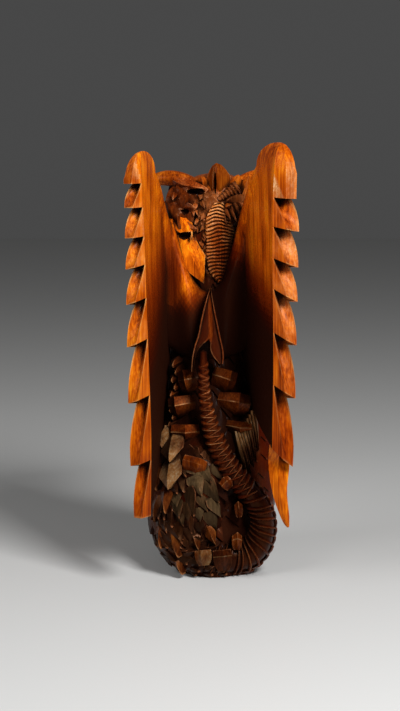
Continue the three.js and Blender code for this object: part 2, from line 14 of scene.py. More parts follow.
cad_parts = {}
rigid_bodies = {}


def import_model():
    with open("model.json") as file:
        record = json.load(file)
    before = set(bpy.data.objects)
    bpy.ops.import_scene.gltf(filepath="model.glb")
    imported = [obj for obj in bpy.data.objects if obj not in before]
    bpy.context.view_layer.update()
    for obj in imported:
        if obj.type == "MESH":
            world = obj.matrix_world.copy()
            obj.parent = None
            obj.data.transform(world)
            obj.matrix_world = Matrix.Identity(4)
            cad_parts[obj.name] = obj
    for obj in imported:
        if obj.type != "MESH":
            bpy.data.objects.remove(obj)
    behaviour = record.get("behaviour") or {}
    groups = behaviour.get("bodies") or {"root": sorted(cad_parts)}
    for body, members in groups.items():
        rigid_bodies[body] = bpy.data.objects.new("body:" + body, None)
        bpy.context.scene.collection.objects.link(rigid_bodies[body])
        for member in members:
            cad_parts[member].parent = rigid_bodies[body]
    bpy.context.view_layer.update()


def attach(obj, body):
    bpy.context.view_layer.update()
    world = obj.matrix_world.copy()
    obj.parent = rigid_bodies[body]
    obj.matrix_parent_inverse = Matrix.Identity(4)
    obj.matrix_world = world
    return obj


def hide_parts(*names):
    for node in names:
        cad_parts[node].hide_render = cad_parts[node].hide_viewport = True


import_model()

# Driving dimensions, the same as the solid's
HEIGHT = 300  # of the block, just above the top of the right wing
WING_REAR = -79  # where the rear edges of the wings run
CENTRE_SHIFT = (0.05, 11.1, 0)
MM = 0.001
TURN = 0.035  # the front of the body is turned a little towards -X

chance = random.Random(7)


# Curves and skins


def along(rows, t):
    """The rows of numbers at shares t, from 0 to 1, on a smooth line through the given rows."""
    rows = np.asarray(rows, float)
    last = len(rows) - 1
    place = np.clip(np.asarray(t, float), 0, 1) * last
    i = np.minimum(np.floor(place).astype(int), last - 1)
    f = (place - i)[..., None]
    a, b, c, d = (rows[np.clip(i + k, 0, last)] for k in (-1, 0, 1, 2))
    return 0.5 * (2 * b + (c - a) * f + (2 * a - 5 * b + 4 * c - d) * f**2 + (3 * b - a - 3 * c + d) * f**3)


def profile(*rows):
    """A table of rows that is read by its first number."""
    dense = along(rows, np.linspace(0, 1, 800))
    return dense[np.argsort(dense[:, 0], kind="stable")]


def at(table, value):
    """The other numbers of a profile where its first one has these values, one array for each."""
    return [np.interp(value, table[:, 0], column) for column in table.T[1:]]


def blend(a, b, t):
    return a + (b - a) * t


def share_of(value, whole):
    """A value as a share of the whole, kept from 0 to 1."""
    return np.clip(value / whole, 0, 1)


def eased(share):
    return share * share * (3 - 2 * share)


def angles(count):
    """Evenly spread angles for a ring of points."""
    return 2 * math.pi * np.arange(count) / count


def grid(x, y, z):
    """Points from coordinate arrays that are spread over the same rows and columns."""
    return np.stack(np.broadcast_arrays(x, y, z), axis=-1).astype(float)


def unit(v):
    v = np.asarray(v, float)
    return v / np.linalg.norm(v, axis=-1, keepdims=True)


def skin(rings, start=None, end=None):
    """A closed shell over rings of the same number of points, with its ends closed to two apexes."""
    rings = np.asarray(rings, float)
    rows, count = rings.shape[:2]
    start = rings[0].mean(axis=0) if start is None else np.asarray(start, float)
    end = rings[-1].mean(axis=0) if end is None else np.asarray(end, float)
    points = np.vstack([rings.reshape(-1, 3), start, end])
    j = np.arange(count)
    following = (j + 1) % count
    low = (np.arange(rows - 1) * count)[:, None]
    high = low + count
    sides = [
        np.stack([low + j, low + following, high + following], axis=-1).reshape(-1, 3),
        np.stack([low + j, high + following, high + j], axis=-1).reshape(-1, 3),
    ]
    top = (rows - 1) * count
    ends = [
        np.stack([following, j, np.full(count, len(points) - 2)], axis=-1),
        np.stack([top + j, top + following, np.full(count, len(points) - 1)], axis=-1),
    ]
    faces = np.vstack(sides + ends)
    a, b, c = (points[faces[:, k]] for k in range(3))
    if np.einsum("ij,ij->i", a, np.cross(b, c)).sum() < 0:
        faces = faces[:, ::-1]
    return points, faces


def places(faces, rings, count):
    """Each face's row and column in a skin, whether it lies by the next row, and whether it is a side."""
    number = np.arange(len(faces))
    half = (rings - 1) * count
    return number % half // count, number % half % count, number >= half, number < 2 * half


def station(rows, t, side):
    """Centre, radius, heading and two cross directions at shares t of a path of [x, y, z, radius] rows."""
    t = np.clip(np.asarray(t, float), 0, 1)
    line = along(rows, t)
    ahead, behind = along(rows, np.minimum(t + 0.01, 1)), along(rows, np.maximum(t - 0.01, 0))
    heading = unit(ahead[..., :3] - behind[..., :3])
    up = unit(np.cross(np.asarray(side, float), heading))
    return line[..., :3], line[..., 3], heading, np.cross(heading, up), up


def around(rows, side, t, angle, lift=0.0, flat=1.0):
    """Points on a path's round surface, at shares t and at these angles, raised by `lift`."""
    centre, radius, _, across, up = station(rows, t, side)
    wide, angle = (radius + lift)[..., None], angle[..., None]
    return centre + across * wide * np.cos(angle) + up * wide * np.sin(angle) * flat


def ends(rows, side, start=0.0):
    """The two apexes of a tube, a little beyond the ends of its path."""
    centre, radius, heading, _, _ = station(rows, np.array([start, 1.0]), side)
    beyond = heading * radius[:, None] * 0.6
    return centre[0] - beyond[0], centre[1] + beyond[1]


def tube(rows, rings, sides, side=(1, 0, 0), flat=1.0, lift=None, start=0.0):
    """A tube along a path. `lift` gives the relief on it from the share along it and the angle round it."""
    t = np.linspace(start, 1, rings)[:, None]
    angle = angles(sides)[None]
    relief = 0.0 if lift is None else lift(t, angle)
    return skin(around(rows, side, t, angle, relief, flat), *ends(rows, side, start))


def leaf(base, tip, out, width, keel, sunk=3, belly=0.45, heel=0.6, curl=0, dish=0, steps=5, blunt=0):
    """A keeled leaf, widest at share `belly`. `out` is the way its keel stands, `heel` the width of its base.
    `curl` lifts its tip, `blunt` rounds it and `dish` hollows its halves on either side of the keel."""
    base, tip = np.asarray(base, float), np.asarray(tip, float)
    length = tip - base
    up = unit(out)
    across = unit(np.cross(length, up))
    share = np.linspace(0, 0.94, steps)
    growing = heel + (1 - heel) * np.sin(share_of(share, belly) * math.pi / 2)
    closing = share_of(1 - share, 1 - belly) ** (1 - blunt)
    wide = width / 2 * np.minimum(growing, closing)
    high = keel * np.clip(share / 0.25, 0.5, 1) * share_of(1 - share, 0.35) ** 0.5
    bend = curl * share**2
    side = 0.5 - dish
    section = [(-1, 0), (-0.5, side), (0, 1), (0.5, side), (1, 0), (0.6, None), (-0.6, None)]
    rings = []
    for s, half, top, rise in zip(share, wide, high, bend):
        centre = base + length * s + up * rise
        depth = -sunk * (1 - 0.5 * s)
        heights = [depth if h is None else top * h for _, h in section]
        rings.append([centre + across * half * a + up * height for (a, _), height in zip(section, heights)])
    return skin(rings, end=tip + up * curl)


def leaves(rows, out, splay=0.0, **shape):
    """Leaves from rows of base x, y, z, tip x, y, z and width. Their keels splay with their place across."""
    return [leaf(row[:3], row[3:6], (out[0] + splay * row[0], *out[1:]), row[6], **shape) for row in rows]


# The body


TRUNK = profile(  # z, middle x, middle y, half-width, half-depth
    (0, 3, -2, 27, 43),
    (9, 0, -1, 35, 45),
    (24, -2, 0, 40, 43),
    (42, -3, 0, 41, 40),
    (62, -3, 0, 37, 35),
    (90, -2.5, 1, 32, 28),
    (120, -2.5, 4, 28, 24),
    (150, -2.5, 7, 26, 22),
    (180, -2, 9, 24, 20),
    (205, -1, 10, 21, 18),
    (228, -1, 10, 23, 18),
    (245, -2, 11, 26, 19),
    (258, -2, 12, 25, 18),
    (268, 0, 13, 14, 11),
)
SCALED_BODY = (232, 14)  # from this height down to this one
SMOOTH_BODY = ((268, 266, 262, 258, 251, 245, 240), (8, 4, -2))  # heights of the rings above and below it
TRUNK_COLUMNS = 90


def trunk_point(z, share, lift=0.0):
    x, y, wide, deep = at(TRUNK, z)
    angle = 2 * math.pi * share
    return grid(x + (wide + lift) * np.cos(angle), y + (deep + lift) * np.sin(angle), z)


def scaled(surface, rows, scales, lift, point, per=6):
    """The rings of rows of pointed, overlapping scales on a surface(t, share, lift). `point` is how far the
    tips reach, as a share of the whole run."""
    count = scales * per
    share = np.arange(count) / count
    rings = []
    for row in range(rows):
        t = row / (rows - 1)
        wave = 1 - np.abs(2 * ((np.arange(count) / per + 0.5 * row) % 1) - 1)
        reach = t + point * (wave - 0.5)
        rings.append(surface(reach - point * 0.55, share, lift * (0.35 + 0.5 * wave)))
        rings.append(surface(reach, share, lift * (0.55 + 0.45 * wave)))
        rings.append(surface(reach + point * 0.06, share, -lift * 0.1))
    return rings


def trunk():
    """The scaled body, painted dark with shade at the back, above the tail's root and right of the middle."""

    def surface(t, share, lift):
        return trunk_point(blend(*SCALED_BODY, t), share, lift)

    share = np.arange(TRUNK_COLUMNS) / TRUNK_COLUMNS
    upper, lower = ([trunk_point(z, share) for z in heights] for heights in SMOOTH_BODY)
    points, faces = skin(upper + scaled(surface, rows=19, scales=15, lift=2.4, point=0.038) + lower)
    x, y, z = points[faces].mean(axis=1).T
    rear, above, right = share_of(-6 - y, 6), share_of(z - 60, 30), share_of(x, 8)
    return points, faces, 0, 0.9 * rear * np.maximum(above, right)


# The wings


WING_FRONT = profile(  # z, x and y of the front edge
    (90, 31, -5),
    (120, 28, -4),
    (150, 26, -4),
    (180, 25.5, -5),
    (208, 26, -7),
    (235, 27.5, -12),
    (252, 29, -20),
    (270, 32.5, -35),
    (285, 37.5, -52),
    (300, 43, -68),
)
# z and x of the rear edge
WING_BACK = profile((50, 40.5), (100, 40), (150, 41.5), (200, 43), (250, 44.5), (280, 46), (300, 47))
WINGS = {
    "left": {
        "side": -1,
        "top": 293.5,
        "tips": (275, 257.6, 235.8, 215.5, 192.2, 164.2, 126.8, 84.8, 50),
        "slants": (0.5, 0.5, 1.5, 3.5, 5, 6, 6, 4.5, 1),
        "ridge": 0.56,
        "crown": (46, 292),  # how far out and how high its top stands
        "lean": 0,  # how far it leans in at the top
        "shed": 0,  # how much less than the others its first feather reaches out
        "wear_and_highlight": (0.22, 0.05),  # how pale its feathers' inner and outer facets are: paler wood, and painted highlight on the facet that faces the light
        "first_wear_and_highlight": 0.6,  # and the inner one of the first
        "stain_and_shade": (250, 130, 150),  # where the painted shade on its inner face begins, over how far it deepens, and its rear too
        "feather_shade": 0.12,  # how much painted shade darkens its feathers' ends
        "shade_top": 208,  # how far up its root is painted dark with shade
    },
    "right": {
        "side": 1,
        "top": HEIGHT,
        "tips": (261.5, 240.2, 216.8, 194.2, 165.5, 130.2, 84.2),
        "slants": (1, 3.5, 6.5, 9, 9, 9.5, 12),
        "ridge": 0.54,
        "crown": (45.5, 297.6),
        "lean": 5.6,
        "shed": 2.2,
        "wear_and_highlight": (0.15, 0.5),
        "first_wear_and_highlight": 1.0,
        "stain_and_shade": (222, 62, 190),
        "feather_shade": 0.2,
        "shade_top": 240,
    },
}


def turned(points):
    points[..., 0] -= TURN * (points[..., 1] - WING_REAR)
    return points


def lean(wing, z):
    """How far a wing leans in at height z."""
    return wing["lean"] * eased(share_of(z - 100, 180))


def wing_point(wing, z, u, lift):
    """A point on a wing at share u from front to rear, on the line that meets the rear edge at height z."""
    front_z = z + 0.17 * (HEIGHT - z)
    front_x, front_y = at(WING_FRONT, front_z)
    (rear_x,) = at(WING_BACK, z)
    x = blend(front_x, rear_x, 1 - (1 - u) ** 1.25)
    y = blend(front_y, WING_REAR + 8 * share_of(z - 280, 20), u)
    height = blend(front_z, z, u)
    drop = (HEIGHT - wing["top"]) * share_of(height - 240, 60)
    return turned(grid(wing["side"] * (x - lean(wing, height) + lift), y, height - drop))


DOME_FOOT = HEIGHT - 22  # from here up the wing is rounded off
DOME_STEPS = (84, 76, 67, 57, 47, 36, 24, 12)  # degrees up the round
FEATHER_STEPS = (0.0, 0.06, 0.14, 0.25, 0.4, 0.55, 0.7, 0.85, 1.0)  # shares of the way down to its lip
LIP_STEP = 5.5  # how far a feather's lip stands out over the notch below it
NOTCH = 8.0  # how deep the notch is cut into the outer facet
CROWN_Y = -71.5
INNER_COLUMNS = 26  # points across a wing's inner face
PALE_COLUMNS = 10  # faces across the inner facet of a feather's end
OUTER_COLUMNS = 6  # faces across its outer facet


def wing_ring(wing, z, reach, slant, ridge, keel, notch, thick):
    """One section of a wing. Its tooth has a pale facet from the inner corner to the ridge, which stands
    `keel` proud, and an outer facet from there to `reach`, which is sunk by `notch`."""
    inner_u = np.linspace(0, 0.97, INNER_COLUMNS)
    inner = wing_point(wing, z, inner_u, -0.9 * np.sin(math.pi * inner_u) ** 2)
    inner[:, 2] += slant * inner_u**2
    rear = wing_point(wing, z, 1.0, 0.0)
    width = reach - abs(rear[0])
    pale = np.linspace(0, 1, PALE_COLUMNS + 1)[:, None] * [ridge, keel, 0]
    share = np.linspace(0, 1, OUTER_COLUMNS + 1)[1:]
    sunk = notch * (1 - share) ** 0.7 + notch * 0.25
    faceted = np.stack([blend(ridge, 1, share), keel * (1 - share) - sunk, share * 0], axis=-1)
    tooth = np.vstack([pale, faceted])
    points = rear + tooth * [wing["side"] * width, -1, 0]
    points[:, 2] += slant * (1 - tooth[:, 0])
    outer_u = np.linspace(0.93, 0.05, 18)
    swell = thick * (0.75 + 0.25 * np.sin(math.pi * outer_u))
    outer_lift = blend(swell, width * 0.97, share_of(outer_u - 0.5, 0.43) ** 1.5)
    outer = wing_point(wing, z, outer_u, outer_lift)
    front = wing_point(wing, z, np.zeros(3), np.array([0.7, 0.42, 0.15]) * thick)
    front[:, 1] += np.array([1.5, 3, 2])
    return np.vstack([inner, points, outer, front])


def wing_reach(z):
    """How far out the feathers reach at height z."""
    return 57 - 0.014 * (260 - z) - 0.05 * max(0, 100 - z)


def wing_sail(wing):
    """The wing as one skin, from its crown down. Each feather ends in a lip that overhangs a notch."""
    slants, shed = wing["slants"], wing["shed"]
    out, top = wing["crown"]
    foot = wing_ring(wing, DOME_FOOT, 56.4 - shed, slants[0] * 0.3, wing["ridge"], 4.5, notch=0, thick=8)
    middle = turned(np.array([wing["side"] * out, CROWN_Y, foot[:, 2].mean()]))
    apex = np.array([*middle[:2], top])
    rings = []
    for degrees in DOME_STEPS:
        turn = math.radians(degrees)
        rings.append(middle + (foot - middle) * math.cos(turn) + (apex - middle) * math.sin(turn))
    above, slant_above = DOME_FOOT, slants[0]
    for k, tip in enumerate(wing["tips"]):
        step = 1 if k else 0
        shares = FEATHER_STEPS if k else np.linspace(0.93, 1, 13)
        for n, share in enumerate(shares):
            place = share if k else n / (len(shares) - 1)
            z = blend(above, tip, place)
            ring = wing_ring(
                wing,
                z,
                reach=wing_reach(z) - (0 if k else shed) - step * LIP_STEP * (1 - share) ** 2.2,
                slant=blend(slant_above, slants[k], place),
                ridge=blend(0.06, wing["ridge"], share),
                keel=blend(0.2, 5.2, share**0.8),
                notch=step * NOTCH * (1 - share) ** 1.1,
                thick=blend(6.5, 9, share),
            )
            rings.append(ring)
        above, slant_above = tip - 0.05, slants[k]
    last = rings[-1].mean(axis=0) + [0, 0, 1]
    points, faces = skin(rings, apex, last)
    return points, faces, *wing_wear_highlight_and_shade(wing, rings, faces)


def wing_wear_highlight_and_shade(wing, rings, faces):
    """How pale and how dark each face of a wing is. Only the facets of its feathers' ends are pale: paler
    wood, and a painted highlight.
    Its inner face has painted shade, darker downwards and towards the back of the space between the wings,
    and its feathers' ends a little too."""
    row, column, later, sides = places(faces, len(rings), len(rings[0]))
    heights = np.array([ring[INNER_COLUMNS][2] for ring in rings])
    next_row = np.minimum(row + 1, len(rings) - 1)
    level = blend(heights[row], heights[next_row], np.where(later, 2 / 3, 1 / 3))
    tip = wing["tips"][0]
    height = share_of(level - 120, 130) * share_of(tip + 27 - level, 9)
    facet = column - INNER_COLUMNS
    inner_facet = (facet >= 0) & (facet < PALE_COLUMNS)
    outer_facet = (facet >= PALE_COLUMNS) & (facet < PALE_COLUMNS + OUTER_COLUMNS)
    inner, outer = wing["wear_and_highlight"]
    across = (facet + np.where(later, 1 / 3, 2 / 3)) / PALE_COLUMNS
    across = across if wing["side"] > 0 else 1 - across
    first = wing["first_wear_and_highlight"] * np.clip(6 * (1 - (level - tip) / 17 - across), 0, 1)
    inner = np.where(level > tip - 0.5, first, inner)
    # paler wood and painted highlight on the facets of the feathers' ends
    pale = sides * height * (inner_facet * inner + outer_facet * outer)
    # painted shade on the inner face, and on the feathers' ends
    stain_and_shade = (column < INNER_COLUMNS) * painted_wing_shade(wing, level, 1 - column / INNER_COLUMNS)
    feather_shade = (inner_facet | outer_facet) * (wing["feather_shade"] + 0.1 * share_of(150 - level, 60))
    return pale, sides * (stain_and_shade + feather_shade)


def painted_wing_shade(wing, z, deep):
    """How dark the painted shade is on a wing's inner face, at height z and at a depth from 0 to 1."""
    top, run, rear_top = wing["stain_and_shade"]
    low = share_of(top - z, run)
    return np.clip(low * (0.8 + 0.5 * deep) + 0.45 * share_of(rear_top - z, 60), 0, 1)


WING_ARM = (  # x, y, z, radius of the rod along the wing's front edge
    (20, -8, 192, 10),
    (30, -10, 224, 9),
    (35.5, -18, 247, 8.5),
    (39.5, -33, 264, 8),
    (43, -46, 275, 7.5),
    (46, -58, 282, 6.5),
)


def wing_arm(wing):
    rows = []
    for k, (x, y, z, radius) in enumerate(WING_ARM):
        out = wing["side"] * (x - lean(wing, z))
        point = turned(np.array([out, y, z - (HEIGHT - wing["top"]) * k / 5], float))
        rows.append((*point, radius))
    points, faces = tube(rows, 28, 24)
    return points, faces, 0, painted_root_shade(wing, points[faces].mean(axis=1))


def painted_root_shade(wing, middles):
    """How dark the painted shade is at the root of a wing, for faces with these middles."""
    x, y, z = middles.T
    down = share_of(wing["shade_top"] - z, 42)
    inside = share_of(np.abs(x) - 18, 7) * share_of(37 - np.abs(x), 4)
    beside_wing = 0.5 * inside * share_of(246 - z, 24)
    return np.maximum(np.where(y < -11, eased(down), 0), beside_wing)


def shoulder(wing):
    """Joins a wing to the back. Its upper edge falls in a bow to the notch between the wings."""
    x = np.linspace(-3, 35, 26)[:, None]
    top = np.minimum(194 + 0.085 * x**2, 244)
    bottom = 146 + 0.012 * x**2
    bulge = 4 * np.exp(-(((x - 13) / 7) ** 2))
    angle = angles(40)[None]
    y = -13 + 0.004 * x**2 + (8 + bulge) * np.cos(angle)
    z = (top + bottom) / 2 + (top - bottom) / 2 * np.sin(angle)
    points, faces = skin(grid(wing["side"] * x - 2, y, z))
    return points, faces, 0, painted_root_shade(wing, points[faces].mean(axis=1))


SHOULDER_LEAVES = (  # base x, y, z, tip x, y, z, width of the leaves over the left shoulder
    (-26, -6, 252, -13, -15, 230, 13),
    (-24, -8, 238, -5, -17, 200, 19),
    (-28, -9, 236, -20, -17, 198, 10),
)
LAST_FEATHER = (  # x, y, z, half-width of the right wing's last feather, which hangs free
    (46, -60, 104, 7),
    (45, -68, 84, 8),
    (45.5, -73, 66, 5.5),
    (49, -76, 50, 3.2),
    (51, -76, 43, 1),
)
COVERTS = {"front": 0.04, "rear": 0.6, "upper": 264, "lower": 158, "proud": 9.2}


def coverts(wing):
    """Rows of short feathers that cover the roots of the long ones, on the outside of the wing."""

    def surface(t, share, lift):
        outside = share < 0.8
        turn = np.where(outside, share / 0.8, (1 - share) / 0.2)
        u = blend(COVERTS["front"], COVERTS["rear"], np.clip(turn, 0, 1))
        z = blend(COVERTS["upper"], COVERTS["lower"], t)
        return wing_point(wing, z, u, np.where(outside, COVERTS["proud"] + lift, 2))

    return skin(scaled(surface, rows=9, scales=10, lift=2.4, point=0.07, per=8))


def wings_of(wing):
    return [wing_sail(wing), wing_arm(wing), coverts(wing)]


def last_feather():
    return tube(LAST_FEATHER, 14, 6, side=(1, -0.6, 0), flat=1.1)


# The tail


TAIL = (  # x, y, z, radius
    (-6, -4, 104, 17),
    (-7, -14, 82, 22),
    (-8, -24, 60, 24),
    (-14, -29, 41, 22),
    (-20, -32, 25, 18),
    (-11, -36, 15, 14.5),
    (7, -37, 12, 12.5),
    (24, -36, 14, 11),
    (33.5, -37, 24, 9.5),
    (35.5, -39, 40, 8.4),
    (30, -41, 54, 7.8),
    (20, -41, 66, 7.4),
    (9.5, -39, 80, 7.0),
    (2, -37, 96, 6.4),
    (-2.5, -36, 112, 5.0),
    (-5, -36, 128, 4.1),
    (-5.5, -36, 142, 3.6),
    (-5.5, -35, 155, 2.6),
)
TAIL_SIDE = (0.25, -1, 0.1)
TAIL_ROOT_END = 0.34  # the share of its length up to which it is covered with leaf scales
ROOT_FACES = -112  # the angle in degrees at which the scales of its root begin
ROOT_SPAN = 0.62  # the share of the way round that the scales of its root cover
ROOT_SCALES = (15, 10)  # rows of them, and how many there are in a row
TAIL_PITCH = 4.6  # from one rung to the next on its free part
TAIL_BARS_TOP = 58  # up to this height its rungs run right across


def around_tail(t, degrees, lift):
    """A point on the tail at share t, at an angle from the side that faces away from the body."""
    return around(TAIL, TAIL_SIDE, t, np.radians(degrees), lift)


def tail_surface(t, share, lift):
    return around_tail(t, 360 * share + ROOT_FACES, lift)


HOLLOW_SIDE = 3  # from here to the right the tail's root lies in a hollow, painted dark with shade


def tail():
    """The ground of the tail: its root, which lies under leaf scales, and its free part."""
    share = np.linspace(0, ROOT_SPAN, 56)[None]
    t = np.linspace(0.02, TAIL_ROOT_END, 40)[:, None]
    points, faces = skin(tail_surface(t, share, -0.6))
    x, _, z = points[faces].mean(axis=1).T
    # Painted shade fills the hollow right of HOLLOW_SIDE; the rest of the root is darkened a little.
    hollow = share_of(x - HOLLOW_SIDE, 2) * share_of(z - 18, 4)
    root = (points, faces, 0, 0.2 + 0.8 * hollow)
    start = TAIL_ROOT_END - 0.04
    return [root, tube(TAIL, 150, 24, side=TAIL_SIDE, lift=lambda t, _: -1.9 + 1.6 * t, start=start)]


# How far along the tail, in pitches, and how high the points across a rung are
RUNG_SECTION = ((-0.5, -2.6), (-0.42, -0.4), (0.0, 1.15), (0.16, 1.15), (0.44, -0.2), (0.5, -2.6))


def rung(share_at, start, degrees, taper, slope, size):
    """A ridge across the tail, from one angle to another, that leans `slope` towards the root as it goes.
    Its crest is painted pale by a chance amount, as a highlight."""
    columns = []
    for part, lift in RUNG_SECTION:
        place = share_at(start + part * TAIL_PITCH * taper - slope * size * np.linspace(0, 1, len(degrees)))
        columns.append(around_tail(place, degrees, lift * size * np.where(lift > 0, 0.4 + 0.6 * taper, 1)))
    points, faces = skin(np.stack(columns, axis=1))
    _, column, _, sides = places(faces, len(degrees), len(columns))
    # painted highlight on the crest
    return points, faces, sides * (column == 2) * chance.uniform(0.05, 0.75)


BAR = np.array([0.25, 0.55, 0.6, 0.6, 0.58, 0.56, 0.54, 0.5, 0.45, 0.38, 0.2])  # its width, from end to end
BAR_END = -88  # the angle in degrees of the small leaf at the end of each bar
WEDGE = np.array([0.5, 0.95, 0.86, 0.76, 0.62, 0.48, 0.34, 0.2])  # the width of a wedge in the same way


def tail_carving():
    """Bars across the tail where it bends up, which turn into wedges from both sides above the bend."""
    shares = np.linspace(TAIL_ROOT_END - 0.02, 0.985, 4000)
    line = along(TAIL, shares)
    run = np.concatenate([[0], np.cumsum(np.linalg.norm(np.diff(line[:, :3], axis=0), axis=1))])
    shells = []

    def share_at(distance):
        return np.interp(distance, run, shares)

    for k in range(int(run[-1] / TAIL_PITCH)):
        start = (k + chance.uniform(-0.12, 0.12)) * TAIL_PITCH
        _, _, z, radius = along(TAIL, share_at(start))
        size = radius / 7.5
        if z < TAIL_BARS_TOP:
            degrees = np.linspace(118, -70, BAR.size)
            shells.append(rung(share_at, start, degrees, BAR, 7 + chance.uniform(-1, 1), size))
            angle = np.array(BAR_END + chance.uniform(-3, 3))
            base, tip = share_at(start - 0.05 * TAIL_PITCH), share_at(start + 1.25 * TAIL_PITCH)
            low, high = around_tail(base, angle, -0.5 * size), around_tail(tip, angle, 0.75 * size)
            out = low - station(TAIL, base, TAIL_SIDE)[0]
            bar_end = leaf(low, high, out, 5.2 * size, 1.1 * size, sunk=1.5, belly=0.3, heel=0.8, steps=4)
            shells.append(bar_end)
        else:
            inner = np.linspace(112, -30, WEDGE.size) + chance.uniform(-4, 4)
            outer = np.linspace(-102, 34, WEDGE.size) + chance.uniform(-4, 4)
            for lag, degrees in ((0, inner), (TAIL_PITCH / 2, outer)):
                shells.append(rung(share_at, start + lag, degrees, WEDGE * 0.95, 4.5, size))
    return shells


def root_scales():
    """Leaf scales over the root of the tail, cut by hand and so not quite alike: those on its lit swell,
    those in its shade, and those in the hollow right of it, kept apart to be painted lit, shaded and dark
    with shade."""
    lit, shady, deep = [], [], []
    rows, across = ROOT_SCALES
    for row in range(rows):
        t = blend(0.03, TAIL_ROOT_END + 0.01, row / (rows - 1))
        for k in range(across):
            share = ROOT_SPAN * (k + 0.5 * (row % 2) + chance.uniform(-0.3, 0.3)) / across
            steps = ((0, 0), (0.028, 0), (0, 0.01))
            here, ahead, side = (tail_surface(t + step, np.array(share + turn), 0.0) for step, turn in steps)
            if here[2] > 90 and here[0] > -24:
                continue
            onward, sideways = unit(ahead - here), unit(side - here)
            out = unit(np.cross(side - here, ahead - here))
            if np.dot(out, here - station(TAIL, t, TAIL_SIDE)[0]) < 0:
                out = -out
            heading = unit(onward + sideways * math.copysign(1, sideways[0]) * chance.uniform(0.5, 1.3))
            out = unit(out + sideways * chance.uniform(-0.5, 0.5) + onward * chance.uniform(-0.2, 0.35))
            size = np.linalg.norm(side - here) * 62 / across * chance.uniform(0.8, 1.35)
            tip = here + heading * size * chance.uniform(0.85, 1.4) + out * chance.uniform(0.6, 3.0)
            base = here - heading * size * 0.45 - out * 0.8
            keel = chance.uniform(0.8, 2.4)
            hollow = here[0] > HOLLOW_SIDE and here[2] > 20
            group = deep if hollow else lit if here[0] > -26 and 42 < here[2] < 84 else shady
            group.append(leaf(base, tip, out, size * 1.1, keel, belly=0.3, heel=0.85))
    return lit, shady, deep


SPADE = profile(  # z, left x, left side of the fork, right side of the fork, right x
    (198.5, -0.9, -0.7, -0.7, -0.5),
    (192, -3.2, -0.7, -0.7, 0.7),
    (184, -5.6, -0.7, -0.7, 2.4),
    (175, -7.6, -0.7, -0.7, 4.4),
    (166, -9.4, -0.7, -0.7, 6.2),
    (161, -11.2, -5.0, -1.2, 7.4),
    (157, -12.2, -8.6, -1.2, 8.2),
    (152, -13.0, -10.8, 1.0, 8.6),
    (148, -13.4, -11.4, 4.4, 8.2),
    (141, -13.6, -12.6, 7.0, 7.6),
)
SPADE_FEET = {"left": 142, "right": 147.5}  # where its two barbs end


def spade_half(side):
    """Half of the blade at the tail's end, with a raised rim along its outer edge and along the fork."""
    z = np.linspace(198, SPADE_FEET[side], 30)
    left, fork_left, fork_right, right = at(SPADE, z)
    inner, outer = (fork_left, left) if side == "left" else (fork_right, right)
    y = -29 - 7 * share_of(198 - z, 50)
    width = outer - inner
    forked = share_of(164 - z, 3)
    rim = np.minimum(1.2, np.abs(width) * 0.3) * np.sign(width)
    columns = [
        (inner - (1 - forked) * 0.6 * np.sign(width), y - 1.2),
        (inner + rim * 0.5, y - 1.4 - 1.9 * forked),
        (inner + rim * 1.2, y - 1.5 - 0.3 * forked),
        (blend(inner, outer, 0.4), y - 1.9),
        (blend(inner, outer, 0.7), y - 1.4),
        (outer - rim * 1.3, y - 1.2),
        (outer - rim * 0.8, y - 3.4),
        (outer - rim * 0.2, y - 3.3),
        (outer, y - 1.5),
        (outer, y + 3),
        (inner, y + 14),
    ]
    points, faces = skin(np.stack([grid(x, depth, z) for x, depth in columns], axis=1))
    column = places(faces, len(z), len(columns))[1]
    # Painted shade: darkest in the hollow between its rims, less on its outer flank, and a little all over.
    inside = (column >= 2) & (column <= 4)
    flank = column >= 8 if side == "left" else column >= 5
    return points, faces, 0, 0.45 * inside + 0.2 * flank + 0.25


# Plates and leaves of the back


PLATES = (  # x and z of the rim, width, height, lean, where its ridge stands across, how far the ridge rises
    (-17, 139.5, 14, 18, 0.2, -0.35, 2.2),
    (10.5, 140.5, 17, 18, -0.3, 0.45, 1.2),
    (-21, 122, 19, 17, 0.15, -0.5, 1.2),
    (16.5, 123.5, 23, 17, -0.15, 0.3, 2.2),
    (-18, 103.5, 20, 16, 0.02, 0.0, 0.6),
    (19.5, 105, 18, 12, -0.1, 0.1, 0.5),
)
SPINES = (  # x, y, z, width, height, lean, where its ridge stands across, how far it rises
    (-10, -42, 83, 17, 12, -0.3, 0.35, 1.2),
    (7.5, -46, 69, 8, 8, 0.8, 0.2, 2),
    (18.3, -44, 51, 5.5, 9, 0.1, 0, 3),
    (17.5, -47, 30, 7, 10, 0, 0.1, 3),
)
DARK_SPINE = (7, -50, 21, 13, 15, 0.1, 0.1, 0.3)
PALE_SPINE = (-6, -51, 21, 11.5, 11, 0.1, -0.3, 0.4)


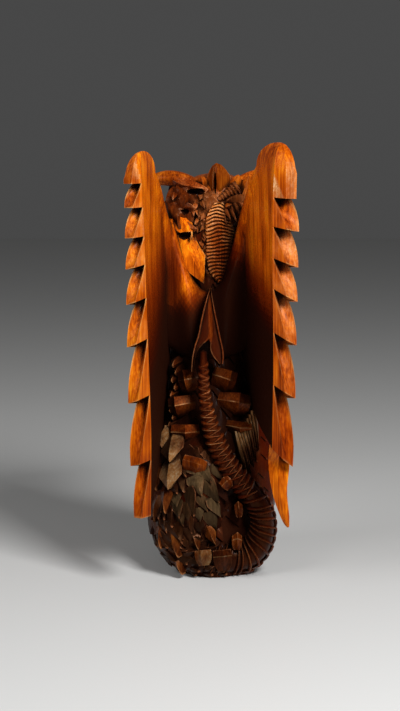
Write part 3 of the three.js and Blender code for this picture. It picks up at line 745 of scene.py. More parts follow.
def ledge(place, out, down, width, height, reach, ridge, peak):
    """A bracket whose upper facets tilt back to a sharp rim. They and its front facets meet in a ridge, where
    the rim rises to a peak, and it runs in to the surface below it."""
    place, out, down = np.asarray(place, float), unit(out), unit(down)
    across = unit(np.cross(out, down))
    corners = ((-0.95, -8, 0), (-1, 0.6, 0), (ridge, 1, 1), (1, 0.66, 0), (0.95, -8, 0))

    def section(share, grow, depth, inset=0.0, dip=0.0):
        ring = []
        for k, (side, distance, lift) in enumerate(corners):
            next_side, next_distance, next_lift = corners[(k + 1) % len(corners)]
            for part in (0, 0.25, 0.5, 0.75):
                far = blend(distance, next_distance, part)
                far = far if far < 0 else far * depth - inset
                hollow = 0.7 * math.sin(math.pi * part) if k in (1, 2) else 0
                wide = blend(side, next_side, part) * (width * grow / 2 - inset * 0.7)
                rise = peak * (blend(lift, next_lift, part) * (1 - share) ** 2) - dip
                ring.append(place + down * (share * height - rise) + across * wide + out * (far - hollow))
        return ring

    rings = [
        section(0, 0.5, reach * 0.4, dip=1.0),
        section(0, 0.95, reach * 0.74, inset=1.4, dip=0.5),
        section(0, 0.95, reach * 0.74),
        section(0.27, 1, reach * 0.98),
        section(0.31, 1, reach),
        section(0.58, 0.94, reach * 0.8),
        section(0.8, 0.8, reach * 0.5),
        section(1, 0.55, 1.5),
    ]
    points, faces = skin(rings)
    band, column, _, sides = places(faces, len(rings), len(rings[0]))
    # Painted highlight: its rim is made pale, most on its top band, where the light catches it.
    rim = sides * (column >= 4) * (column < 12)
    return points, faces, rim * (0.45 * (band == 3) + 0.3 * (band == 1))


def plates(rows):
    shells = []
    for x, z, width, height, lean, ridge, peak in rows:
        middle_x, middle_y, wide, deep = at(TRUNK, z)
        off = np.clip((x - middle_x) / wide, -0.95, 0.95)
        rear = middle_y - deep * math.sqrt(1 - off**2)
        shells.append(ledge((x, rear, z), (0, -1, 0), (lean, 0, -1), width, height, 16, ridge, peak))
    return shells


def spines(rows):
    return [
        ledge((x, y, z), (lean * 0.4, -1, 0.1), (lean, 0, -1), width, height, 6, ridge, peak)
        for x, y, z, width, height, lean, ridge, peak in rows
    ]


def side_scales():
    """A column of small upturned scales along the left of the back."""
    scales = []
    for k in range(11):
        z = 148 - 5.2 * k
        x = -25.5 - 0.35 * k + 2.2 * (k % 2)
        tip = (x - 1.5, -22 - 0.4 * k, z - 4.5)
        scales.append(leaf((x + 4, -9, z), tip, (-0.2, -0.5, 1), width=8, keel=2.5, sunk=4, dish=0.2))
    return scales


PALE_LEAVES = (  # base x, y, z, tip x, y, z, width
    (-24.5, -25, 100, -28.5, -42, 80, 20),
    (-26, -33, 85, -29.5, -47, 62, 20),
    (-31, -22, 102, -34, -31, 88, 9),
)
BROWN_LEAVES = (
    (-30, -37, 64, -31.5, -46.5, 45, 12),
    (-34, -37, 37, -34.5, -45, 20, 11),
    (-27, -44, 36, -22.5, -54, 16, 13),
    (-36, -27, 54, -39, -33, 36, 10),
    (-24, -44, 17, -20, -50, 3, 8),
    (-36, -26, 76, -38, -33, 58, 9),
    (-13, -46, 34, -8, -52, 20, 9),
    (-3, -46, 36, 3, -50, 24, 8),
)


def hip_leaves(rows, belly=0.4, heel=0.6):
    shape = {"keel": 3.2, "sunk": 8, "belly": belly, "heel": heel, "dish": 0.12, "steps": 10}
    return leaves(rows, (0, -1, 0.2), splay=0.03, **shape)


def hip_tuft():
    """Long strands at the right hip."""
    strands = []
    for k in range(9):
        base = (17 + 1.6 * k, -27 + 0.8 * k, 99 + k + 0.13 * k**2)
        tip = (26 + 0.9 * k, -33 + 1.6 * k, 64 + 2.2 * k + 4 * (k % 2))
        strands.append(leaf(base, tip, (0.4, -1, 0), width=3, keel=1.8, sunk=7, steps=6))
    return strands


# Legs and belly


LIMB_SIDE = (1, 0, 0)


def scaled_tube(rows, rings, scales):
    """A limb covered with rows of scales."""

    def surface(t, share, lift):
        return around(rows, LIMB_SIDE, t, 2 * math.pi * share, lift)

    return skin(scaled(surface, rings, scales, lift=1.3, point=0.45 / rings, per=4), *ends(rows, LIMB_SIDE))


def claws(base, pitch, reach):
    """Three claws side by side, that reach away from their base and apart."""
    shells = []
    for k in (-1, 0, 1):
        root = np.array(base, float) + [pitch * k, 0, 0]
        tip = root + reach + [1.5 * k, 0, 0]
        shells.append(leaf(root, tip, (0, 0.6, 0.8), pitch + 0.6, keel=3, sunk=4, steps=7))
    return shells


THIGH = ((22, -4, 104, 12), (29, -6, 72, 16), (29, 4, 40, 15), (26, 20, 22, 11))  # x, y, z, radius
FOOT = ((25, 18, 14, 11), (26, 34, 12, 10), (27, 46, 10, 7))
FORE_LEG = (
    (16, 14, 152, 12),
    (20, 25, 124, 11),
    (17, 31, 94, 8.5),
    (14, 37, 62, 7.5),
    (12, 42, 34, 8),
    (12, 46, 20, 9),
)


def limb(rows, side, rings, scales):
    return scaled_tube([(side * x, y, z, radius) for x, y, z, radius in rows], rings, scales)


def hind_leg(side):
    toes = claws((side * 27, 42, 12), 5.5, (0, 17, -8))
    return [limb(THIGH, side, 12, 14), limb(FOOT, side, 7, 10), *toes]


def fore_leg(side):
    return [limb(FORE_LEG, side, 18, 9), *claws((side * 12, 46, 20), 5, (0, 14, -13))]


LEDGES = 22


def belly():
    """Ledges one above the other between the forelegs."""
    run = np.arange(LEDGES * 4) / (LEDGES * 4)
    phase = (run * LEDGES) % 1
    sunk = 2.4 * share_of(phase - 0.6, 0.4) - 0.8 * np.sin(math.pi * share_of(phase, 0.7))
    z = blend(208, 56, run)
    wide = blend(11, 18, run) - sunk * 0.5
    x, y, _, deep = at(TRUNK, z)
    angle = angles(32)[None]
    front = (y + deep - 4)[:, None] + (9 - sunk)[:, None] * np.sin(angle)
    return [skin(grid(x[:, None] + wide[:, None] * np.cos(angle), front, z[:, None]))]


# The neck


SHIELD = profile(  # z, left x, right x
    (200, 4.5, 7.5),
    (207, -1.5, 13.5),
    (216, -3.8, 18),
    (226, -4.2, 19.5),
    (236, -4.2, 16.5),
    (246, -3.5, 12.5),
    (255, 2, 9),
)
RIB_PITCH = 2.5


def shield():
    """The ribbed shield down the back of the neck. Its ribs bow up in the middle and have paler crests."""
    z = np.linspace(255, 200, 178)[:, None]
    left, right = at(SHIELD, z)
    share = np.linspace(0, 1, 24)[None]
    place = blend(left, right, share)
    x, y, wide, deep = at(TRUNK, z)
    rear = y - deep * np.sqrt(1 - np.clip((place - x) / wide, -0.95, 0.95) ** 2)
    bow = np.sin(math.pi * share)
    waver = 0.45 * np.sin(place * 0.35 + z * 0.17) + 0.15 * np.sin(place * 0.9 - z * 0.5)
    phase = (z - 2.2 * bow + waver) / RIB_PITCH
    rib = np.abs(np.sin(math.pi * phase)) ** 0.8
    front = grid(place, rear - 2.2 - 1.2 * bow**0.5 - 1.7 * rib * bow**0.25, z)
    back = np.stack([grid(right - 1, y, z)[:, 0], grid(left + 1, y, z)[:, 0]], axis=1)
    points, faces = skin(np.concatenate([front, back], axis=1))
    crest = np.concatenate([rib, rib[:, :2] * 0], axis=1).ravel()
    pale = np.append(crest, [0, 0])[faces].mean(axis=1)
    return points, faces, 0.45 * share_of(pale - 0.5, 0.35)


def ear():
    """The ribbed cone of the ear, right of the middle spike."""
    t = np.linspace(0, 1, 60)
    start, end = np.array([5, -5.5, 256.5]), np.array([18.5, -4, 265.5])
    heading = unit(end - start)
    up = unit(np.cross(heading, (0, -1, 0)))
    out = np.cross(up, heading)
    ribs = 0.5 * np.sin(2 * math.pi * t * 7)
    radius = (2.6 + 3.6 * t + ribs * np.clip(4 * t, 0, 1))[:, None, None]
    angle = angles(28)[None, :, None]
    middle = (start + (end - start) * t[:, None])[:, None]
    return skin(middle + radius * (up * np.cos(angle) * 0.8 + out * np.sin(angle)))


NECK_LEAVES = (  # base x, y, z, tip x, y, z, out x, y, z, width, keel
    (-27, 2, 272, -2, -9, 264, 0.15, -0.35, 1, 13, 2.5),  # the long hood below the left horn
    (-25, -4, 262.5, -26.5, -12, 257, -0.2, -1, 0.6, 5, 2),
    (-24, -3, 254, -11, -13, 252, 0, -0.5, 1, 8, 2.5),
    (-13, -4, 254, -12, -13, 246, 0.6, -1, 0.3, 5, 2),
    (-28, -2, 243, -10, -14, 237.5, 0, -0.6, 0.8, 12, 3),
    (-30, -4, 248, -22, -13, 242, -0.3, -0.7, 0.8, 6, 2),
    (-9, -5, 236, -13, -9, 222, -0.3, -1, 0, 9, 2.5),
    (-4, -6, 222, -5, -10, 205, -0.2, -1, 0, 7, 2),
    (-6, -5, 250, -3, -11, 240, 0.1, -1, 0.1, 6, 2),
)
HOLLOWS = (  # centre x, y, z and half-sizes of the cuts in the neck and the crest
    (-11, -7, 262.5, 7.5, 7, 3),
    (-17.8, -11, 249, 3.6, 4.5, 2.6),
    (-17.5, -13, 232.8, 5.2, 6, 3.2),
    (19.5, -6, 238, 2.6, 8, 4.5),
    (2.6, -6, 268, 1.1, 6, 9),
)
LOCKS = (  # base x, y, z, tip x, y, z, width of the curled frills right of the shield
    (8, -6, 256, 13, -11, 243, 5),
    (11, -6, 257, 17, -11, 242, 5),
    (14, -5, 258, 21, -9, 243, 5),
    (7, -6, 252, 10, -10, 240, 4),
    (17, -3, 258, 23, -7, 247, 5),
)


def pit(x, y, z, wide, deep, high):
    """A hollow with a few uneven sides, ready to be cut."""
    run = np.linspace(-0.98, 0.98, 9)[:, None]
    angle = angles(7)[None]
    uneven = np.array([chance.uniform(0.75, 1.15) for _ in range(angle.size)])
    girth = np.sqrt(1 - run**2) * uneven
    points = grid(x + wide * girth * np.cos(angle), y + deep * run, z + high * girth * np.sin(angle))
    return skin(points, (x, y - deep, z), (x, y + deep, z))


NECK_SIDE = (  # x, y, z, radius of the swelling left of the shield
    (-17, 3, 266, 8),
    (-20, 1, 256, 11),
    (-21, 0, 244, 12),
    (-19, -1, 230, 10.5),
    (-14, 0, 214, 8),
)


def rough(t, angle):
    """Gouge marks, deeper in some places than in others."""
    spots = [(math.cos(a) * 3, math.sin(a) * 3, s * 7) for s in t.ravel() for a in angle.ravel()]
    return 3.2 * np.array([noise.noise(Vector(spot)) for spot in spots]).reshape(t.size, angle.size)


def nape():
    """The back of the neck, with shallow gouge marks."""
    z = np.linspace(266, 196, 70)[:, None]
    share = np.linspace(0.5, 1, 60)[None]

    def gouged(height, s):
        broad = noise.noise(Vector((30 * s, 0, height / 6)))
        fine = noise.noise(Vector((70 * s, 9, height / 2.5)))
        return 1.4 + 2.2 * broad + 1.1 * fine

    lift = np.array([gouged(height, s) for height in z.ravel() for s in share.ravel()])
    edge = share_of(np.minimum(share - 0.5, 1 - share), 0.1) * share_of(z - 196, 10)
    return skin(trunk_point(z, share, (lift.reshape(z.size, share.size) + 1) * edge - 1))


def gouges():
    """Small uneven folds between the shield and the swelling left of it."""
    folds = []
    draw = chance.uniform
    for k in range(16):
        x, z = draw(-11, -4.5), 258 - 3.2 * k + draw(-1.5, 1.5)
        base = (x + draw(-2, 2), -7, z + draw(2, 4))
        tip = (x + draw(-2, 2.5), -11 - draw(0, 1.5), z - draw(1, 4))
        folds.append(leaf(base, tip, (draw(-0.8, 0.8), -1, 0.4), width=draw(3, 6), keel=1.8, sunk=4))
    return folds


def neck():
    return [
        tube(NECK_SIDE, 40, 36, lift=rough),
        *(leaf(row[:3], row[3:6], row[6:9], *row[9:], sunk=6, dish=0.2, steps=8) for row in NECK_LEAVES),
        *gouges(),
        nape(),
        ear(),
        leaf((22, -1, 262), (9, -9, 254.5), (0.2, -1, 0.5), width=12, keel=4, sunk=6, steps=9),
        *leaves(LOCKS, (0.3, -1, 0), keel=3, sunk=5, curl=1.5, steps=10),
    ]


# The head


def cos_sin(degrees):
    return math.cos(math.radians(degrees)), math.sin(math.radians(degrees))


def turn_z(degrees):
    c, s = cos_sin(degrees)
    return np.array([(c, -s, 0), (s, c, 0), (0, 0, 1)])


def turn_x(degrees):
    c, s = cos_sin(degrees)
    return np.array([(1, 0, 0), (0, c, -s), (0, s, c)])


HEAD_PLACE = (2, 16, 256)
HEAD_TURN = turn_z(-34) @ turn_x(-9)  # its nose, along +Y, turned towards +X and tipped a little down
SKULL = (  # y, z, half-width, half-height
    (-20, 0, 8, 8),
    (-13, 1, 18, 14),
    (-3, 2, 21, 16),
    (9, 4, 19, 15),
    (21, 4, 14, 11.5),
    (33, 3, 12, 8.5),
    (43, 4, 12, 8.5),
    (50, 3, 8, 6),
)
JAW = ((-6, -10, 15, 8), (8, -14, 13, 6), (22, -19, 10, 5), (36, -23, 8, 4.5), (43, -24, 5, 3))
TONGUE = ((0, 8, -11, 4), (0, 28, -14, 4), (0, 40, -14, 3.4), (0, 48, -10, 2))
HEAD_PAIRS = {  # base x, y, z, tip x, y, z, width, keel
    "brow": (9, 21, 14, 20, -3, 13, 11, 4),
    "nostril": (5, 47, 8, 10, 32, 14, 9, 4),
    "lip": (15, 6, -5, 12, 47, 0, 8, 3),
    "cheek_frill": (15, 0, 4, 26, -16, 7, 12, 3.5),
    "jowl_frill": (14, -3, -5, 25, -19, -6, 12, 3.5),
    "upper_fang": (9, 40, -2, 9.5, 41, -14, 5, 2.5),
    "upper_tooth": (10, 29, -3, 10.5, 30, -12, 5, 2.5),
    "lower_fang": (7, 36, -20, 7.5, 36, -11, 4.5, 2),
    "lower_tooth": (8.5, 24, -17, 9, 24, -9, 4.5, 2),
    "eye": (12, 20, 8, 15.5, 8, 9, 9, 4.5),
}
FULLNESS = 1 / 1.15  # under 1, so that the head's sections are a little squarer than an ellipse


def head_loft(rows, rings, sides):
    y, z, wide, high = along(rows, np.linspace(0, 1, rings)).T[..., None]
    angle = angles(sides)[None]
    c, s = np.cos(angle), np.sin(angle)
    x = wide * np.sign(c) * np.abs(c) ** FULLNESS
    return skin(grid(x, y, z + high * np.sign(s) * np.abs(s) ** FULLNESS))


def head():
    shells = [head_loft(SKULL, 30, 36), head_loft(JAW, 16, 24), tube(TONGUE, 14, 16, flat=0.6)]
    shells.append(leaf((0, 26, -21), (0, 18, -40), (0, 1, 0), 11, keel=4, dish=0.2, steps=8))
    for x, y, z, tip_x, tip_y, tip_z, width, keel in HEAD_PAIRS.values():
        for side in (-1, 1):
            base, tip = (side * x, y, z), (side * tip_x, tip_y, tip_z)
            out = (side, 0.1, 0 if abs(tip_z - z) > 8 else 0.45)
            shells.append(leaf(base, tip, out, width, keel, sunk=4, dish=0.1, steps=8))
    return [(points @ HEAD_TURN.T + HEAD_PLACE, faces) for points, faces in shells]


LEFT_HORN = (  # x, y, z, radius
    (2, 12, 254, 8),
    (-11, 7, 264, 7.8),
    (-23, 4, 270, 7.2),
    (-34, 5, 271, 6),
    (-44, 9, 267, 4),
    (-50, 13, 262, 1.5),
)
RIGHT_HORN = (
    (10, 16, 256, 8),
    (20, 16, 265, 7.8),
    (31, 20, 271, 6.5),
    (41, 26, 272, 4.5),
    (49, 34, 267, 1.6),
)
CREST = (  # base x, y, z, tip x, y, z, width
    (0.5, 0, 256, 1.5, -2, 280, 8),
    (7, 0, 256, 3.5, -2, 282, 17),
    (-5, 0, 262, -7, -2, 273, 9),
    (14, 0, 258, 19, -2, 274, 9),
    (20, 0, 256, 26, -2, 273, 8),
)


def crest():
    """The two horns, which are ridged lengthwise, and the points of the crest between them."""

    def ridges(t, angle):
        return 0.5 * np.cos(angle * 6) * np.clip(1 - t, 0.2, 1)

    horns = [tube(rows, 30, 36, side=(0, 1, 0), flat=0.85, lift=ridges) for rows in (LEFT_HORN, RIGHT_HORN)]
    points = leaves(CREST, (0, -1, 0.1), keel=4.5, sunk=5, belly=0.6, heel=0.75, steps=12, blunt=0.45)
    return horns + points


# One carving


def toned(shells, orange=0.0, grey=0.0, pale=0.0, shade=0.5, spread=0.5, stain_and_shade=0.0):
    """The shells with their tone: how orange, grey and pale the wood is, a chance shade of each, and how dark
    it is with stain and painted shade. On some shells the shade paints light and shade. A shell may bring its
    own paleness and its own stain and painted shade, face by face."""
    made = []
    for points, faces, *own in shells:
        light = shade + spread * chance.uniform(-0.5, 0.5)
        tone = np.tile([orange, grey, light, pale, stain_and_shade], (len(faces), 1)).astype(float)
        for column, values in enumerate(own, start=3):
            tone[:, column] = values
        made.append((points, faces, tone))
    return made


def mesh_object(name, shell):
    points, faces, tone = shell
    mesh = bpy.data.meshes.new(name)
    mesh.from_pydata(((points + CENTRE_SHIFT) * MM).tolist(), [], faces.tolist())
    mesh.attributes.new("tone", "FLOAT_COLOR", "FACE").data.foreach_set("color", tone[:, :4].ravel())
    mesh.attributes.new("stain_and_shade", "FLOAT", "FACE").data.foreach_set("value", tone[:, 4].copy())
    mesh.update()
    return bpy.data.objects.new(name, mesh)


def placed(thing):
    bpy.context.scene.collection.objects.link(thing)
    return thing


def combined(base, shells, operation):
    """The base object's mesh after joining to or cutting by every shell."""
    group = bpy.data.collections.new("shells")
    bpy.context.scene.collection.children.link(group)
    for k, shell in enumerate(shells):
        group.objects.link(mesh_object(f"shell_{k}", shell))
    step = base.modifiers.new("carve", "BOOLEAN")
    step.operation = operation
    step.operand_type = "COLLECTION"
    step.collection = group
    step.solver = "MANIFOLD"
    graph = bpy.context.evaluated_depsgraph_get()
    mesh = bpy.data.meshes.new_from_object(base.evaluated_get(graph))
    base.modifiers.remove(step)
    base.data = mesh
    for shell in list(group.objects):
        bpy.data.objects.remove(shell)
    bpy.data.collections.remove(group)


def table_block():
    """Everything below the table, which is cut away."""
    corners = np.array([(150, 0), (0, 150), (-150, 0), (0, -150)], float)
    return skin([np.column_stack([corners, np.full(4, z)]) for z in (-60.0, 0.0)])


SHARP_ANGLE = math.radians(32)  # edges that bend more than this aren't smoothed


def carve():
    """The whole figure. Its shells are made in this order, and so are the chance draws."""
    lit_scales, shady_scales, deep_scales = root_scales()
    shoulder_leaves = leaves(SHOULDER_LEAVES, (0.2, -1, 0.2), keel=3, sunk=6, belly=0.6, dish=0.1, steps=12)
    shells = (
        toned(wings_of(WINGS["left"]), orange=1, spread=0)
        # Painted light: the right wing is made a little brighter than the left.
        + toned([*wings_of(WINGS["right"]), last_feather()], orange=1, shade=0.6, spread=0)
        # Painted light and shade: the left shoulder and its first two leaves are lit bright; its third leaf
        # and the right shoulder are dark with shade.
        + toned([shoulder(WINGS["left"]), *shoulder_leaves[:2]], orange=1, shade=0.75, spread=0.2)
        + toned(shoulder_leaves[2:], orange=1, shade=0.3, spread=0, stain_and_shade=0.2)
        + toned([shoulder(WINGS["right"])], orange=1, shade=0.2, spread=0)
        + toned(tail(), shade=0.15, spread=0, stain_and_shade=0.2)
        + toned(tail_carving(), orange=0.08, shade=0.3, spread=0.8, stain_and_shade=0.3)
        # Painted light and shade: scales on the lit swell are brighter and greyer, their grey partly a
        # painted reflection; shady ones are dark, and those in the hollow are painted black with shade.
        + toned(lit_scales[::4], grey=0.5, shade=0.25, spread=0.8)
        + toned([scale for k, scale in enumerate(lit_scales) if k % 4], grey=0.85, shade=0.5, spread=1.2)
        + toned(shady_scales, grey=0.2, shade=0.1, spread=0.7)
        + toned(deep_scales, shade=0, spread=0.2, stain_and_shade=1)
        + toned([spade_half(side) for side in SPADE_FEET], orange=0.15, shade=0.35, spread=0)
        + toned(plates(PLATES), orange=0.12, shade=0.6, spread=0.5)
        + toned(spines(SPINES), orange=0.2, shade=0.7, spread=0.4)
        + toned(spines([DARK_SPINE]), shade=0.3, spread=0)
        + toned([shell[:2] for shell in spines([PALE_SPINE])], orange=0.2, pale=0.9, shade=0.5, spread=0)
        + toned(side_scales(), orange=0.2, spread=0.8)
        + toned(hip_leaves(PALE_LEAVES, belly=0.62, heel=0.3), grey=0.2, pale=0.55, shade=0.7, spread=0.2)
        + toned(hip_leaves(BROWN_LEAVES), orange=0.25, grey=0.15, shade=0.7, spread=0.5)
        + toned(hip_tuft(), grey=0.25, pale=0.7, spread=0.9)
        + toned([*hind_leg(-1), *fore_leg(-1), *fore_leg(1)], shade=0.3, spread=0.3)
        # Painted shade: the right hind leg is a dark, shaded copy of the others.
        + toned(hind_leg(1), shade=0.15, spread=0.2, stain_and_shade=0.45)
        + toned(belly(), orange=0.3)
        + toned(neck(), orange=0.14, pale=0.08, shade=0.65, spread=0.7)
        + toned([shield()], orange=0.6, grey=0.1, shade=1.0, spread=0)
        + toned(head(), orange=0.2)
        + toned(crest(), orange=0.4, shade=0.45, spread=0.5)
    )
    figure = placed(mesh_object("carved_dragon", toned([trunk()])[0]))
    combined(figure, shells, "UNION")
    hollows = [pit(*row) for row in HOLLOWS]
    combined(figure, toned([table_block(), *hollows], spread=0), "DIFFERENCE")
    figure.data.materials.clear()
    for polygon in figure.data.polygons:
        polygon.use_smooth = True
    figure.data.set_sharp_from_angle(angle=SHARP_ANGLE)
    return figure


figure = carve()


# The wood


class Nodes:
    """Builds a material's node tree. Sockets are passed as they come, and numbers become socket values."""

    def __init__(self, tree):
        self.tree = tree

    def set(self, socket, value):
        if isinstance(value, bpy.types.NodeSocket):
            self.tree.links.new(value, socket)
        else:
            socket.default_value = value

    def add(self, kind, settings=None, **inputs):
        """A node. Its inputs are given by their names, or by their numbers as n0, n1 and so on."""
        node = self.tree.nodes.new("ShaderNode" + kind)
        for name, value in (settings or {}).items():
            setattr(node, name, value)
        for name, value in inputs.items():
            self.set(node.inputs[int(name[1:]) if name[1:].isdigit() else name.replace("_", " ")], value)
        return node

    def attribute(self, name):
        return self.add("Attribute", {"attribute_name": name}).outputs

    def math(self, operation, *values):
        total = values[0]
        for value in values[1:]:
            total = self.add("Math", {"operation": operation}, n0=total, n1=value).outputs[0]
        return total

    def times(self, *values):
        return self.math("MULTIPLY", *values)

    def plus(self, *values):
        return self.math("ADD", *values)

    def mix(self, factor, a, b):
        return self.add("Mix", {"data_type": "RGBA"}, n0=factor, n6=a, n7=b).outputs[2]

    def between(self, value, low, high, to_low=0.0, to_high=1.0):
        """Eases from one output to the other as the value goes from low to high."""
        settings = {"interpolation_type": "SMOOTHSTEP"}
        return self.add("MapRange", settings, Value=value, n1=low, n2=high, n3=to_low, n4=to_high).outputs[0]

    def noise(self, place, size, detail=3.0, roughness=0.55, distortion=0.0):
        """Noise whose features have these sizes in millimetres along x, y and z."""
        scale = [1 / MM / length for length in size]
        scaled_place = self.add("Mapping", Vector=place, Scale=scale).outputs[0]
        shape = {"Detail": detail, "Roughness": roughness, "Distortion": distortion}
        return self.add("TexNoise", Vector=scaled_place, Scale=1.0, **shape).outputs[0]

    def ramp(self, factor, *stops):
        """Colours from stops of a place, red, green and blue."""
        node = self.add("ValToRGB", Fac=factor)
        elements = node.color_ramp.elements
        for element, stop in zip(elements, (stops[0], stops[-1])):
            element.position = stop[0]
            element.color = (*stop[1:], 1)
        for place, *colour in stops[1:-1]:
            elements.new(place).color = (*colour, 1)
        return node.outputs[0]

    def open_sky(self, distance, inside=False):
        """How open the surface is within this distance, in millimetres: 1 where nothing is near."""
        settings = {"samples": 8, "inside": inside, "only_local": True}
        return self.add("AmbientOcclusion", settings, Distance=distance * MM).outputs["AO"]


# The woods' colours: place along the grain, red, green, blue
WING_WOOD = (
    (0.36, 0.10, 0.012, 0.001),
    (0.45, 0.32, 0.048, 0.001),
    (0.53, 0.56, 0.115, 0.002),
    (0.62, 0.78, 0.24, 0.005),
)
BODY_WOOD = ((0.38, 0.018, 0.0025, 0.0008), (0.5, 0.075, 0.010, 0.002), (0.6, 0.20, 0.036, 0.006))
RED_WOOD = ((0.38, 0.10, 0.006, 0.0005), (0.6, 0.46, 0.044, 0.002))
# grey wood; on the lit scales its grey is partly a painted reflection of the light
GREY_WOOD_AND_SHEEN = ((0.38, 0.03, 0.018, 0.008), (0.6, 0.16, 0.11, 0.05))
PALE_WOOD = ((0.4, 0.42, 0.15, 0.03), (0.52, 0.64, 0.33, 0.12), (0.62, 0.82, 0.60, 0.34))
# mixed in by stain_and_shade: partly stain, mostly painted shade
DARK_STAIN_AND_SHADE = (0.055, 0.004, 0.0004, 1)
DIRT_AND_SHADE = (0.010, 0.0022, 0.0014, 1)  # painted shade and dirt in the deep cuts and the deep space between the parts
WEAR_AND_HIGHLIGHT_BODY = (0.56, 0.19, 0.075, 1)  # worn, and painted highlight, on the sharp edges
WEAR_AND_HIGHLIGHT_WING = (0.85, 0.48, 0.15, 1)


def varnished_wood():
    """Grained wood, coloured by the figure's tone, by its stain and painted shade, worn and painted with
    highlights on its edges, darker towards the bottom with painted shade, and painted with shade and dirt in
    its cuts.
    """
    material = bpy.data.materials.new("varnished_wood")
    material.use_nodes = True
    make = Nodes(material.node_tree)
    place = make.add("TexCoord").outputs["Object"]
    z = make.add("SeparateXYZ", Vector=place).outputs["Z"]
    tone = make.attribute("tone")
    orange, grey, shade = make.add("SeparateColor", Color=tone["Color"]).outputs
    pale, stain_and_shade = tone["Alpha"], make.attribute("stain_and_shade")["Fac"]

    fibre = make.noise(place, (1.1, 1.1, 34), detail=5)
    bands = make.noise(place, (9, 9, 120), distortion=0.6)
    cloud = make.noise(place, (22, 22, 30))
    speck = make.noise(place, (1.6, 1.6, 2.4), roughness=0.7)
    grain = make.plus(make.times(fibre, 0.38), make.times(bands, 0.34), make.times(cloud, 0.28))
    pale_wood = make.ramp(make.plus(make.times(speck, 0.5), make.times(grain, 0.5)), *PALE_WOOD)

    colour = make.mix(orange, make.ramp(grain, *BODY_WOOD), make.ramp(grain, *WING_WOOD))
    colour = make.mix(grey, colour, make.ramp(grain, *GREY_WOOD_AND_SHEEN))
    colour = make.mix(make.times(pale, make.between(cloud, 0.35, 0.6)), colour, pale_wood)
    # Painted shade: the wood darkens towards the bottom, the body most.
    low = make.times(make.between(z, 0.13, 0.03), make.between(orange, 0.9, 0.5))
    shaded = make.times(make.between(shade, 0, 1, 0.45, 1.7), make.between(low, 0, 1, 1.0, 0.38))
    value = make.times(shaded, make.between(z, 0.03, 0.2, 0.72, 1.0))
    colour = make.add("HueSaturation", Color=colour, Value=value).outputs[0]

    # Worn edges, which also stand in for painted highlights where the edges catch the light; fewer towards
    # the bottom.
    edge = make.between(make.math("SUBTRACT", 1.0, make.open_sky(1.6, inside=True)), 0.45, 0.8)
    wear_and_highlight = make.times(
        edge,
        make.between(speck, 0.3, 0.6, 0.35, 1.0),
        make.between(grey, 0, 1, 1.0, 0.4),
        make.between(z, 0.02, 0.12, 0.55, 1.0),
    )
    colour = make.mix(make.times(wear_and_highlight, 0.75), colour, make.mix(orange, WEAR_AND_HIGHLIGHT_BODY, WEAR_AND_HIGHLIGHT_WING))

    # Painted shade, partly stain: where stain_and_shade is high the wing wood reddens and all wood darkens.
    reddened = make.times(make.between(stain_and_shade, 0.05, 0.4, 0, 0.8), orange)
    colour = make.mix(reddened, colour, make.ramp(grain, *RED_WOOD))
    colour = make.mix(make.between(stain_and_shade, 0, 0.75, 0, 0.94), colour, DARK_STAIN_AND_SHADE)
    # Painted shade and dirt: the wood darkens where the surface is closed in, in its cuts and in the deep
    # space between the wings.
    near = make.between(make.open_sky(5), 0.35, 0.85)
    far = make.between(make.open_sky(120), 0.22, 0.58)
    lit = make.times(near, far, make.between(stain_and_shade, 0.35, 1, 1.0, 0.1))
    colour = make.mix(make.between(lit, 0, 1, 0.95, 0.0), colour, DIRT_AND_SHADE)

    rough_wood = make.plus(
        make.between(speck, 0.3, 0.7, 0.22, 0.38),
        make.times(pale, 0.12),
        make.between(lit, 0, 0.7, 0.5, 0.0),
        make.times(grey, 0.2),
    )
    relief = make.plus(make.times(fibre, 0.5), make.times(speck, 0.35))
    looks = {
        "Base Color": colour,
        "Roughness": rough_wood,
        "Specular IOR Level": 0.16,
        "Specular Tint": (1.0, 0.40, 0.14, 1),
        "Coat Weight": 0.03,
        "Coat Roughness": 0.18,
        "Normal": make.add("Bump", Height=relief, Strength=0.35, Distance=0.6 * MM).outputs[0],
    }
    shader = material.node_tree.nodes["Principled BSDF"]
    for name, look in looks.items():
        make.set(shader.inputs[name], look)
    return material


figure.data.materials.append(varnished_wood())
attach(figure, "root")
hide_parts("dragon")


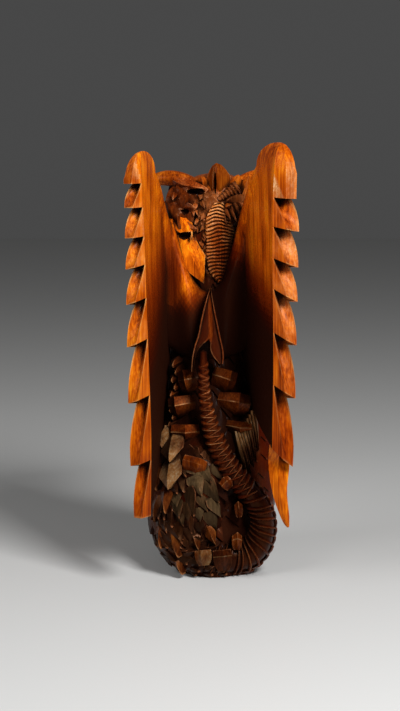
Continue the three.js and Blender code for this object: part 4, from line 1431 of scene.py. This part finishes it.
# Floor, light and camera


FLOOR_HALF = 3.0
FLOOR_COLOUR = (0.66, 0.66, 0.65, 1)


def floor():
    mesh = bpy.data.meshes.new("floor")
    corners = [(x * FLOOR_HALF, y * FLOOR_HALF, 0) for x, y in ((-1, -1), (1, -1), (1, 1), (-1, 1))]
    mesh.from_pydata(corners, [], [range(4)])
    material = bpy.data.materials.new("floor_pale")
    material.use_nodes = True
    material.node_tree.nodes["Principled BSDF"].inputs["Base Color"].default_value = FLOOR_COLOUR
    mesh.materials.append(material)
    return placed(bpy.data.objects.new("floor", mesh))


def area_light(name, place, size, power):
    """A square lamp, in metres and watts, that is turned to LIT_POINT."""
    light = bpy.data.lights.new(name, "AREA")
    light.shape = "SQUARE"
    light.size = size
    light.energy = power
    lamp = placed(bpy.data.objects.new(name, light))
    lamp.location = place
    lamp.rotation_euler = (LIT_POINT - Vector(place)).to_track_quat("-Z", "Y").to_euler()


LIT_POINT = Vector((0, 0, 0.25))
floor()
area_light("key_right", (0.44, -0.78, 0.86), size=0.35, power=16)
area_light("fill_left", (-0.95, -0.7, 0.9), size=0.8, power=7)

world = bpy.data.worlds.new("studio")
world.use_nodes = True
background = world.node_tree.nodes["Background"].inputs
background["Color"].default_value = (0.8, 0.8, 0.8, 1)
background["Strength"].default_value = 0.08
bpy.context.scene.world = world
bpy.context.scene.view_settings.view_transform = "Standard"

AIM = Vector((-0.0077, 0.0111, 0.1477))
DISTANCE = 1.3
VIEW_WIDTH = 0.28  # how much the picture takes in across, at AIM
SENSOR_MM = 36
ELEVATION = math.radians(8)
lens = bpy.data.cameras.new("camera")
lens.sensor_fit = "HORIZONTAL"
lens.sensor_width = SENSOR_MM
lens.lens = SENSOR_MM * DISTANCE / VIEW_WIDTH
camera = placed(bpy.data.objects.new("camera", lens))
camera.location = AIM + Vector((0, -math.cos(ELEVATION), math.sin(ELEVATION))) * DISTANCE
camera.rotation_euler = (math.pi / 2 - ELEVATION, 0, 0)
bpy.context.scene.camera = camera
